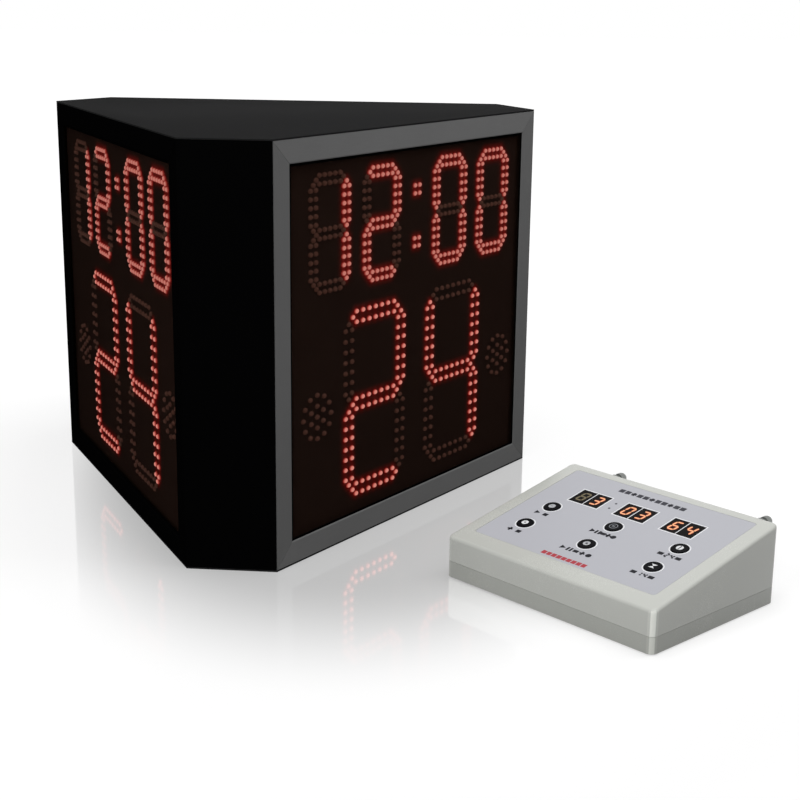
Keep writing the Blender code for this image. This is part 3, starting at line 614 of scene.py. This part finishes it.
mask_brown = (0.200, 0.110, 0.086)
board_finish = finish("black_solder_mask", mask_brown, 0.0015, 0.7, 0.00003, shine=0.0)
# Painted glow: the board shines dark red by its glow attribute, where the lit LEDs' light would
# fall.
glow_stops = [
    (0.0, (0, 0, 0)),
    (0.15, (0.07, 0, 0)),
    (0.6, (0.23, 0.001, 0.001)),
    (1.0, (0.45, 0.02, 0.015)),
]
light_up(board_finish, "glow", glow_stops, 1.0)
lit_stops = [(0.0, (0.28, 0.006, 0.004)), (0.35, (0.46, 0.065, 0.05)), (0.8, (1.0, 0.34, 0.27))]
lit_strengths = {"upper": 1.9, "lower": 2.4}
epoxy_red = (0.30, 0.02, 0.015)
lit_finishes = {}
for half, strength in lit_strengths.items():
    name = f"{half}_lit_red_epoxy"
    lit_finishes[half] = finish(name, epoxy_red, 0.002, 0.35, 0.00001, shine=0.2)
    light_up(lit_finishes[half], "rise", lit_stops, strength)
# Painted glow: the unlit LEDs shine faintly, most near their tips, as if lit by the lit ones.
unlit_glow_stops = [(0.0, (0.026, 0.008, 0.005)), (0.8, (0.095, 0.036, 0.025))]
dark_finish = finish("dark_red_epoxy", (0.44, 0.22, 0.16), 0.002, 0.5, 0.00001, shine=0.1)
light_up(dark_finish, "rise", unlit_glow_stops, 1.0)

board_halves = (
    ("upper", board_split, board_high, upper_leds),
    ("lower", board_low, board_split, lower_leds),
)
for face, turn in FACE_TURNS.items():
    place = Matrix.Rotation(radians(turn), 4, "Z")
    for half, low, high, leds in board_halves:
        placed = list(leds())
        lit = [(x, z) for x, z, on in placed if on]
        dark = [(x, z) for x, z, on in placed if not on]
        name = f"{face}_{half}_board"
        sheet = board_sheet(name, low, high, lit)
        sheet.transform(place)
        board = add_mesh(name, sheet, board_finish, "root")
        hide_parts(f"{face}_{half}_led_board")
        states = (("lit", lit, lit_finishes[half]), ("dark", dark, dark_finish))
        for state, spots, material in states:
            name = f"{face}_{half}_{state}_leds"
            bulbs = led_bulbs(name, spots)
            bulbs.transform(place)
            add_mesh(name, bulbs, material, "root").visible_diffuse = False

# ---- Windows
# A smoked acrylic sheet, clipped behind each frame's lip. It darkens what lies behind it, and is
# treated against glare, so that it hardly mirrors the room.
smoke = (0.0030, 0.0014, 0.0006)
window_finish = finish(
    "smoked_acrylic", smoke, 0.004, 0.16, 0.000004, shine=0.0, spread=0.06, Alpha=0.48
)
dress([f"{face}_window" for face in FACE_TURNS], window_finish)

# ---- Window gaskets
# A black rubber bead lies in the corner between each window and the lip that holds it.
window_half, window_low, window_high = 0.257, 0.030, 0.480
gasket_width, gasket_height = 0.0028, 0.0009
gasket_clearance, gasket_foot = 0.0002, 0.00002
window_face = 0.0019
rubber_black = (0.0012, 0.0012, 0.0012)
gasket_finish = finish("gasket_rubber", rubber_black, 0.0010, 0.8, 0.00005, shine=0.0)


def window_outline(inset):
    """The edge of the window's opening, drawn in by inset."""
    width = 2 * (window_half - inset)
    height = window_high - window_low - 2 * inset
    return box_outline(width, height, (0, (window_low + window_high) / 2))


near, far = gasket_clearance, gasket_clearance + gasket_width
bead_section = (
    (near, gasket_foot),
    (near, gasket_height * 0.7),
    (near + gasket_width * 0.3, gasket_height),
    (far - gasket_width * 0.3, gasket_height * 0.8),
    (far, gasket_height * 0.3),
    (far, gasket_foot),
)
for face, turn in FACE_TURNS.items():
    bead = bmesh.new()
    add_band(bead, [(window_outline(inset), height) for inset, height in bead_section])
    on_window = Matrix.Translation((0, window_face - face_distance, 0)) @ facing_front
    place = Matrix.Rotation(radians(turn), 4, "Z") @ on_window
    add_piece(f"{face}_gasket", bead, gasket_finish, "root", place)

# ---- Power supply, control board and horn
# The mains supply sits in a zinc-plated case on the base plate, beside a green board with the
# clock's processor and three cable headers. The horn is a moulded black trumpet near the front.
zinc_grey = (0.50, 0.51, 0.53)
supply_finish = finish("zinc_plate", zinc_grey, 0.0030, 0.38, 0.00004, cloud=0.25, Metallic=1.0)
dress(["power_supply"], supply_finish, edge=0.0008)
mask_finish = finish("green_solder_mask", (0.010, 0.075, 0.030), 0.0012, 0.35, 0.00004, cloud=0.3)
dress(["control_board", "key_board"], mask_finish)
black_moulding = finish("black_moulding", (0.012, 0.012, 0.013), 0.0007, 0.5, 0.00004, shine=0.3)
dress(["horn"], black_moulding)

# ---- Leads and ribbon cables
# PVC-covered mains leads, thin grey signal leads, and a flat ribbon cable from the control board
# to each face, whose single wires show as ribs.
mains_finish = finish("black_lead", (0.012, 0.012, 0.012), 0.0015, 0.5, 0.00003)
dress(["inlet_lead", "supply_lead"], mains_finish)
signal_finish = finish("grey_lead", (0.26, 0.27, 0.29), 0.0015, 0.55, 0.00003)
dress(["data_lead", "horn_lead", "console_power_lead", "console_data_lead"], signal_finish)
dress([f"{face}_ribbon_cable" for face in FACE_TURNS], signal_finish)

# ---- Mains inlet
# A moulded black three-pin inlet in the right corner panel, held by two countersunk screws.
socket_height = 0.060
inlet_face, inlet_floor = 0.0021, -0.0129
pin_width, pin_thickness, pin_length, pin_point = 0.0040, 0.0020, 0.0125, 0.001
inlet_pins = ((-0.0070, -0.0020), (0.0070, -0.0020), (0.0, 0.0020))
inlet_screw_reach, inlet_screw_radius = 0.01585, 0.0016
dress(["mains_inlet"], black_moulding, edge=0.0003)
plated_finish = finish("bright_nickel", (0.62, 0.61, 0.58), 0.0010, 0.28, 0.00002, Metallic=1.0)
inlet_place = on_corner(120, 0, socket_height)
pins = bmesh.new()
for middle in inlet_pins:
    pin = box_outline(pin_thickness, pin_width, middle)
    shoulder = inlet_floor + pin_length - pin_point
    add_prism(pins, pin, inlet_floor, shoulder)
    add_prism(pins, pin, shoulder, inlet_floor + pin_length, taper=0.6)
add_piece("inlet_pins", pins, plated_finish, "root", inlet_place)
heads = bmesh.new()
for across in (-inlet_screw_reach, inlet_screw_reach):
    add_screw(heads, Matrix.Translation((across, 0, inlet_face)), inlet_screw_radius)
add_piece("inlet_screws", heads, screw_finish, "root", inlet_place)

# ---- Data socket
# A round nickel-plated socket in the left corner panel: a ribbed ring nut holds it, and five pins
# stand in a black insert.
pin_sides = 10
nickel_finish = finish("dark_nickel", (0.20, 0.20, 0.19), 0.0010, 0.35, 0.00003, Metallic=1.0)
dress(["data_socket"], nickel_finish)


def ribbed_outline(radius, ribs, depth):
    """A circle with square ribs."""
    points = []
    for i in range(ribs * 4):
        reach = radius if i % 4 < 2 else radius - depth
        angle = 2 * pi * i / (ribs * 4)
        points.append((reach * cos(angle), reach * sin(angle)))
    return points


def add_ring_nut(shape, outer, inner, low, high, ribs):
    """A ribbed ring with a chamfer at its outer end."""
    hole = round_outline(inner, ribs * 4, turn=0)
    ribbed = ribbed_outline(outer, ribs, outer * 0.06)
    narrow = ribbed_outline(outer * 0.92, ribs, outer * 0.03)
    start = high - (high - low) * 0.25
    add_band(shape, [(hole, low), (ribbed, low), (ribbed, start), (narrow, high), (hole, high)])


def add_pins(shape, ring, count, radius, low, high):
    """Round pins on a ring of the radius ring, each with a tapered end."""
    for i in range(count):
        angle = 2 * pi * (i + 0.5) / count
        pin = round_outline(radius, pin_sides, (ring * cos(angle), ring * sin(angle)))
        add_prism(shape, pin, low, high - radius)
        add_prism(shape, pin, high - radius, high, taper=0.5)


def add_fittings(name, metal, body, place, nuts, insert, pins):
    """A socket's ring nuts, the pins in it, and the black insert that holds them."""
    nut_shape, pin_shape, insert_shape = bmesh.new(), bmesh.new(), bmesh.new()
    for nut in nuts:
        add_ring_nut(nut_shape, *nut)
    add_pins(pin_shape, *pins)
    radius, low, high = insert
    add_prism(insert_shape, round_outline(radius), low, high)
    add_piece(f"{name}_nut", nut_shape, metal, body, place)
    add_piece(f"{name}_pins", pin_shape, plated_finish, body, place)
    add_piece(f"{name}_insert", insert_shape, black_moulding, body, place)


# A nut is (outer radius, inner radius, low, high, ribs), an insert is (radius, low, high), and
# pins are (ring, count, radius, low, high).
data_nuts = [(0.0101, 0.0081, 0.00215, 0.0050, 20)]
data_insert = (0.0060, 0.00215, 0.0028)
data_pins = (0.0036, 5, 0.0006, 0.0022, 0.0050)
data_place = on_corner(240, 0, socket_height)
add_fittings("data_socket", nickel_finish, "root", data_place, data_nuts, data_insert, data_pins)

# ---- Console case
# Two moulded halves in pale grey ABS with a fine spark-eroded texture. They meet at a level
# parting line, and the lid's sloping top has a shallow recess for the panel film. The base is
# given a darker grey as painted shade, and the upright corners are painted paler as a highlight.
console_width, console_depth = 0.306, 0.223
console_front_height, console_back_height = 0.051, 0.096
console_turn = -0.736
# Painted highlight: how much paler the case's upright rounded corners are made
console_front_left = (0.255, -0.352)
corner_highlight_gain = 0.85
slope = atan2(console_back_height - console_front_height, console_depth)
panel_length = console_depth / cos(slope)
console_corner = Matrix.Translation((*console_front_left, 0))
console_place = console_corner @ Matrix.Rotation(console_turn, 4, "Z")
panel_tilt = Matrix.Translation((0, 0, console_front_height)) @ Matrix.Rotation(slope, 4, "X")
panel_place = console_place @ panel_tilt


def build_painted_corner_highlight():
    """A painted highlight: the colour is made paler where a surface turns round an upright corner.
    """
    group, given, end = new_group(
        "painted_corner_highlight",
        [("Color", "Color", (0.5, 0.5, 0.5, 1)), ("Gain", "Float", 0.5)],
        [("Color", "Color")],
    )
    facing = add_node(group, "NewGeometry").outputs["True Normal"]
    turn = {"Vector": facing, "Angle": -console_turn}
    own = add_node(group, "VectorRotate", turn, rotation_type="Z_AXIS")
    parts = add_node(group, "SeparateXYZ", {0: own.outputs[0]}).outputs
    across = maths(group, "MULTIPLY", parts["X"], parts["Y"])
    corner = maths(group, "MULTIPLY", maths(group, "MULTIPLY", across, across), 4.0)
    gain = maths(group, "MULTIPLY_ADD", corner, given["Gain"], 1.0)
    paler = add_node(group, "VectorMath", {0: given["Color"], "Scale": gain}, operation="SCALE")
    feed(end, {"Color": paler.outputs[0]})
    return group


painted_corner_highlight = build_painted_corner_highlight()
case_greys = {
    "console_lid": ("grey_abs", (0.545, 0.555, 0.520)),
    # Painted shade: the base is a darker copy of the lid's grey, for the shade low on the case.
    "console_base": ("grey_abs_base_painted_shade", (0.425, 0.434, 0.402)),
}
for node, (name, grey) in case_greys.items():
    case_finish = finish(name, grey, 0.0009, 0.26, 0.00002, cloud=0.04)
    shader = case_finish.node_tree.nodes["Principled BSDF"]
    skin_colour = shader.inputs["Base Color"].links[0].from_socket
    # The painted highlight pales each half's colour on its upright corners.
    given = {"Color": skin_colour, "Gain": corner_highlight_gain}
    highlight = add_node(case_finish.node_tree, "Group", given, node_tree=painted_corner_highlight)
    feed(shader, {"Base Color": highlight.outputs["Color"]})
    dress([node], case_finish)

# ---- Panel film
# A bluish grey film in the lid's recess, printed from the back. White lines frame the keys and the
# digit windows, and plain marks, numbers and rules stand where the maker's words would.
film_top = -0.0001
print_lift = 0.00004
print_foot, print_top = film_top + print_lift / 4, film_top + print_lift
outline_width = 0.0014
outline_sides, dot_sides = 32, 16
hole_margin = 0.0002
key_radius, key_clearance = 0.0105, 0.0004
key_spacing = 0.0944
digit_spacing = 0.0685
module_width, module_depth = 0.043, 0.030
digit_row = panel_length - 0.0665
key_rows = {"back": digit_row - 0.040, "front": digit_row - 0.088}
key_columns = {"left": -1, "middle": 0, "right": 1}
module_columns = {"minutes": -1, "seconds": 0, "shot": 1}
legend_drop = 0.0192
legend_size = 0.0074
plus_thickness = 0.0028
left_reaches = {"back": 0.0060, "front": 0.0065}
middle_reaches = {"back": 0.0150, "front": 0.0185}
legend_numbers = {"back": "24", "front": "14"}
numeral_step, numeral_thickness = 0.0070, 0.0029
block_height, block_reach = 0.0056, 0.0120
title_start, title_end, title_row = 0.0995, 0.1985, 0.1975
title_marks, title_size = 11, 0.0074
red_start, red_end, red_row = 0.120, 0.1855, 0.0335
red_blocks, red_height, red_fill = 9, 0.0066, 0.84
dot_radius, dot_rise = 0.0016, 0.0065
film_blue = (0.468, 0.472, 0.508)
film_finish = finish("bluish_film", film_blue, 0.0012, 0.42, 0.00002, shine=0.10, cloud=0.03)
dress(["panel_overlay"], film_finish)


def ink(name, colour, cloud=0.12):
    """Printing ink, a thin and nearly matt layer."""
    return finish(name, colour, 0.0010, 0.5, 0.00001, shine=0.10, cloud=cloud)


white_ink = ink("white_ink", (0.80, 0.81, 0.83), cloud=0.05)
black_ink = ink("black_ink", (0.012, 0.012, 0.016))
grey_ink = ink("grey_ink", (0.045, 0.045, 0.055))
red_ink = ink("red_ink", (0.42, 0.060, 0.075))


def key_centre(row, column):
    return console_width / 2 + key_columns[column] * key_spacing, key_rows[row]


def print_on_film(name, outlines, material):
    """Lays flat printed shapes on the film."""
    shape = bmesh.new()
    for outline in outlines:
        add_prism(shape, outline, print_foot, print_top)
    add_piece(name, shape, material, "console", panel_place)


def arrow_outline(size, centre):
    """A triangle that points right."""
    x, y = centre
    half = size / 2
    return [(x - half, y - half), (x + half, y), (x - half, y + half)]


def bar_outlines(size, centre):
    """Two upright bars, side by side."""
    x, y = centre
    return [box_outline(size * 0.38, size, (x + step * size * 0.31, y)) for step in (-1, 1)]


def plus_outlines(size, centre, thickness):
    return [box_outline(size, thickness, centre), box_outline(thickness, size, centre)]


def segment_outline(middle, length, thickness, lying_down):
    """One bar of a numeral, with pointed ends."""
    reach, half = length / 2, thickness / 2
    points = [(-reach, 0), (half - reach, -half), (reach - half, -half)]
    points += [(reach, 0), (reach - half, half), (half - reach, half)]
    x, y = middle
    return [(x + a, y + b) if lying_down else (x + b, y + a) for a, b in points]


def numeral_outlines(numeral, centre, cell, thickness, lean=0.0):
    """The bars of a seven-bar numeral: cell is half its height, and lean tips it to the right."""
    outlines = []
    for name, (across, up, lying_down) in SEGMENTS.items():
        if name in NUMERALS[numeral]:
            middle = (across * cell, up * cell)
            bar = segment_outline(middle, cell - thickness * 0.15, thickness, lying_down)
            outlines.append([(centre[0] + x + y * lean, centre[1] + y) for x, y in bar])
    return outlines


def add_line(shape, near, far):
    """A printed line between two outlines."""
    section = ((near, print_foot), (far, print_foot), (far, print_top), (near, print_top))
    add_band(shape, section)


lines = bmesh.new()
line_start = key_clearance + hole_margin
line_end = line_start + outline_width
for row in key_rows:
    for column in key_columns:
        edges = (key_radius + line_start, key_radius + line_end)
        centre = key_centre(row, column)
        add_line(lines, *[round_outline(edge, outline_sides, centre) for edge in edges])
for step in module_columns.values():
    centre = (console_width / 2 + step * digit_spacing, digit_row)
    edges = (2 * line_start, 2 * line_end)
    outlines = [box_outline(module_width + edge, module_depth + edge, centre) for edge in edges]
    add_line(lines, *outlines)
add_piece("panel_white_lines", lines, white_ink, "console", panel_place)

legends = []
for row, reach in left_reaches.items():
    x, y = key_centre(row, "left")
    spot = (x - reach, y - legend_drop)
    if row == "back":
        legends.append(arrow_outline(legend_size, spot))
    else:
        legends += plus_outlines(legend_size, spot, plus_thickness)
    block = (legend_size * 0.9, legend_size * 0.8)
    legends.append(box_outline(*block, (x + reach, y - legend_drop)))
for row, reach in middle_reaches.items():
    x, y = key_centre(row, "middle")
    spots = [(x + reach * share, y - legend_drop) for share in (-1, -0.5, 0, 0.5, 1)]
    legends += [arrow_outline(legend_size, spots[0]), *bar_outlines(legend_size, spots[1])]
    legends.append(box_outline(legend_size, legend_size * 0.7, spots[2]))
    legends += plus_outlines(legend_size, spots[3], plus_thickness)
    legends.append(round_outline(legend_size * 0.5, dot_sides, spots[4]))
for row, number in legend_numbers.items():
    x, y = key_centre(row, "right")
    for numeral, step in zip(number, (-0.5, 0.5)):
        spot = (x + step * numeral_step, y - legend_drop)
        legends += numeral_outlines(numeral, spot, legend_size * 0.5, numeral_thickness)
    for step in (-1, 1):
        spot = (x + step * block_reach, y - legend_drop)
        legends.append(box_outline(legend_size, block_height, spot))
print_on_film("panel_legends", legends, black_ink)

title_step = (title_end - title_start) / title_marks
title = []
for i in range(title_marks):
    spot = (title_start + (i + 0.5) * title_step, title_row)
    if i % 3 == 2:
        title += plus_outlines(title_size, spot, title_size * 0.5)
    else:
        title.append(box_outline(title_size, title_size, spot))
print_on_film("panel_title_rule", title, grey_ink)
red_step = (red_end - red_start) / red_blocks
red_places = [(red_start + (i + 0.5) * red_step, red_row) for i in range(red_blocks)]
rule = [box_outline(red_step * red_fill, red_height, place) for place in red_places]
print_on_film("panel_red_rule", rule, red_ink)
colon_place = console_width / 2 - digit_spacing / 2
dot_places = [(colon_place, digit_row + rise) for rise in (-dot_rise, dot_rise)]
dots = [round_outline(dot_radius, dot_sides, place) for place in dot_places]
print_on_film("panel_colon", dots, grey_ink)

# ---- Digit windows
# Three two-digit modules with black faces. Each numeral is seven moulded light bars, and a pale
# line parts its two faces. The first minutes digit isn't lit, so all its bars show. Bars that meet
# differ in height by a hair, so that no two faces coincide.
half_numeral = 0.0088
bar_thickness = 0.0024
halo_thickness = bar_thickness * 1.9
numeral_lean = 0.12
numeral_spread = 0.0106
face_clearance = 0.00001
halo_lift, bar_lift, divider_lift = 0.00006, 0.00010, 0.00012
lift_step = 0.000001
divider_width = 0.0011
module_numbers = {"minutes": "83", "seconds": "03", "shot": "64"}


def module_plastic(name, colour, roughness=0.5, light=(1, 1, 1), strength=0.0):
    """Plastic of the digit modules, which may shine by itself."""
    shining = {"Emission_Color": (*light, 1), "Emission_Strength": strength}
    return finish(name, colour, 0.002, roughness, 0.00001, shine=0.02, **shining)


module_finish = module_plastic("digit_black", (0.006, 0.005, 0.005), roughness=0.3)
dress(["minutes_digits", "seconds_digits", "shot_digits"], module_finish)
bar_finish = module_plastic("lit_orange_bar", (0.30, 0.10, 0.05), 0.5, (1.0, 0.54, 0.30), 0.75)
# Painted glow: a wider red band under each lit bar shines faintly on the black face round it.
halo_finish = module_plastic("red_halo", (0.10, 0.010, 0.006), 0.5, (1.0, 0.05, 0.02), 0.13)
dim_finish = module_plastic("unlit_bar", (0.20, 0.17, 0.11))
for name, step in module_columns.items():
    centre = (console_width / 2 + step * digit_spacing, digit_row)
    bars, halos, dim = [], [], []
    for numeral, across in zip(module_numbers[name], (-numeral_spread, numeral_spread)):
        given = (numeral, (centre[0] + across, centre[1]), half_numeral)
        if name == "minutes" and across < 0:
            dim += numeral_outlines(*given, bar_thickness, numeral_lean)
        else:
            bars += numeral_outlines(*given, bar_thickness, numeral_lean)
            halos += numeral_outlines(*given, halo_thickness, numeral_lean)
    layers = (
        ("halo", halos, halo_finish, halo_lift),
        ("bars", bars, bar_finish, bar_lift),
        ("dim_bars", dim, dim_finish, halo_lift),
    )
    for layer, outlines, material, lift in layers:
        if outlines:
            shape = bmesh.new()
            for number, outline in enumerate(outlines):
                own_lift = lift + number * lift_step
                add_prism(shape, outline, film_top + face_clearance, film_top + own_lift)
            add_piece(f"{name}_{layer}", shape, material, "console", panel_place)
    divider = bmesh.new()
    strip = box_outline(divider_width, module_depth, centre)
    add_prism(divider, strip, film_top + face_clearance, film_top + divider_lift)
    add_piece(f"{name}_divider", divider, white_ink, "console", panel_place)

# ---- Keys
# Six round black press keys, each on its own switch. A pale mark is printed in the middle of each.
key_top = 0.0012
mark_lift, glyph_lift = 0.00006, 0.00003
glyph_step = 0.000002
mark_radius, ring_width = 0.0044, 0.0010
mark_sides = 28
key_finish = finish("key_black", (0.004, 0.004, 0.005), 0.001, 0.45, 0.00002, shine=0.03)
pale_ink = ink("pale_key_ink", (0.72, 0.73, 0.74), cloud=0.05)
dull_ink = ink("dull_key_ink", (0.22, 0.23, 0.25), cloud=0.05)
soft_ink = ink("soft_key_ink", (0.44, 0.45, 0.47), cloud=0.05)


def hourglass_outlines(size):
    """Two triangles that meet at their points."""
    half = size / 2
    return [[(-half, half), (0, 0), (half, half)], [(-half, -half), (half, -half), (0, 0)]]


# Each key's ground, the shapes on it or in it, and the ink of the paler of the two
key_marks = {
    ("back", "left"): ("disc", [box_outline(0.0034, 0.0007)], soft_ink),
    ("front", "left"): ("disc", plus_outlines(0.0030, (0, 0), 0.0009), pale_ink),
    ("back", "middle"): ("ring", bar_outlines(0.0036, (0, 0)), dull_ink),
    ("front", "middle"): ("disc", [round_outline(0.0015, dot_sides)], soft_ink),
    ("back", "right"): ("disc", [box_outline(0.0013, 0.0080)], pale_ink),
    ("front", "right"): ("bare", hourglass_outlines(0.0078), pale_ink),
}
for (row, column), (ground, glyph, mark_ink) in key_marks.items():
    node = f"key_{row}_{column}"
    dress([node], key_finish)
    x, y = key_centre(row, column)
    place = panel_place @ Matrix.Translation((x, y, key_top))
    body = f"{row}_{column}_key"
    foot, top = face_clearance, mark_lift
    shape = bmesh.new()
    near = round_outline(mark_radius, mark_sides)
    if ground == "disc":
        add_prism(shape, near, foot, top)
    elif ground == "ring":
        far = round_outline(mark_radius + ring_width, mark_sides)
        add_band(shape, [(near, foot), (far, foot), (far, top), (near, top)])
    if ground != "disc":
        for outline in glyph:
            add_prism(shape, outline, foot, top)
    add_piece(f"{node}_mark", shape, mark_ink, body, place)
    if ground == "disc":
        shape = bmesh.new()
        for number, outline in enumerate(glyph):
            own_lift = mark_lift + glyph_lift + number * glyph_step
            add_prism(shape, outline, mark_lift + face_clearance, own_lift)
        add_piece(f"{node}_glyph", shape, black_ink, body, place)

# ---- Rear sockets
# Two round sockets in the console's back wall, each with two ribbed rings, an insert and pins.
rear_socket_places = {"console_power_socket": 0.064, "console_data_socket": 0.277}
rear_height = 0.0865
rear_nuts = [(0.0070, 0.0051, 0.0022, 0.0070, 16), (0.0066, 0.0051, 0.0120, 0.0205, 18)]
rear_insert = (0.0034, 0.0186, 0.0192)
rear_pins = [(0.0017, count, 0.0005, 0.0190, 0.0214) for count in (2, 4)]
socket_finish = finish("socket_nickel", (0.24, 0.25, 0.24), 0.0010, 0.4, 0.00003, Metallic=0.8)
dress(list(rear_socket_places), socket_finish)
facing_back = Matrix.Rotation(radians(-90), 4, "X")
for (name, x), pins in zip(rear_socket_places.items(), rear_pins):
    place = console_place @ Matrix.Translation((x, console_depth, rear_height)) @ facing_back
    add_fittings(name, socket_finish, "console", place, rear_nuts, rear_insert, pins)

# ---- Feet and base screws
# Four rubber feet are stuck under the console. Four screws beside them hold its halves together.
rubber_finish = finish("foot_rubber", (0.02, 0.02, 0.02), 0.0008, 0.8, 0.00006)
dress([f"console_foot_{number}" for number in (1, 2, 3, 4)], rubber_finish)
base_underside = 0.0015
base_screw_inset, base_screw_radius = 0.040, 0.0030
heads = bmesh.new()
for x in (base_screw_inset, console_width - base_screw_inset):
    for y in (base_screw_inset, console_depth - base_screw_inset):
        facing_down = Matrix.Translation((x, y, base_underside)) @ Matrix.Rotation(pi, 4, "X")
        add_screw(heads, facing_down, base_screw_radius)
add_piece("console_base_screws", heads, screw_finish, "console", console_place)
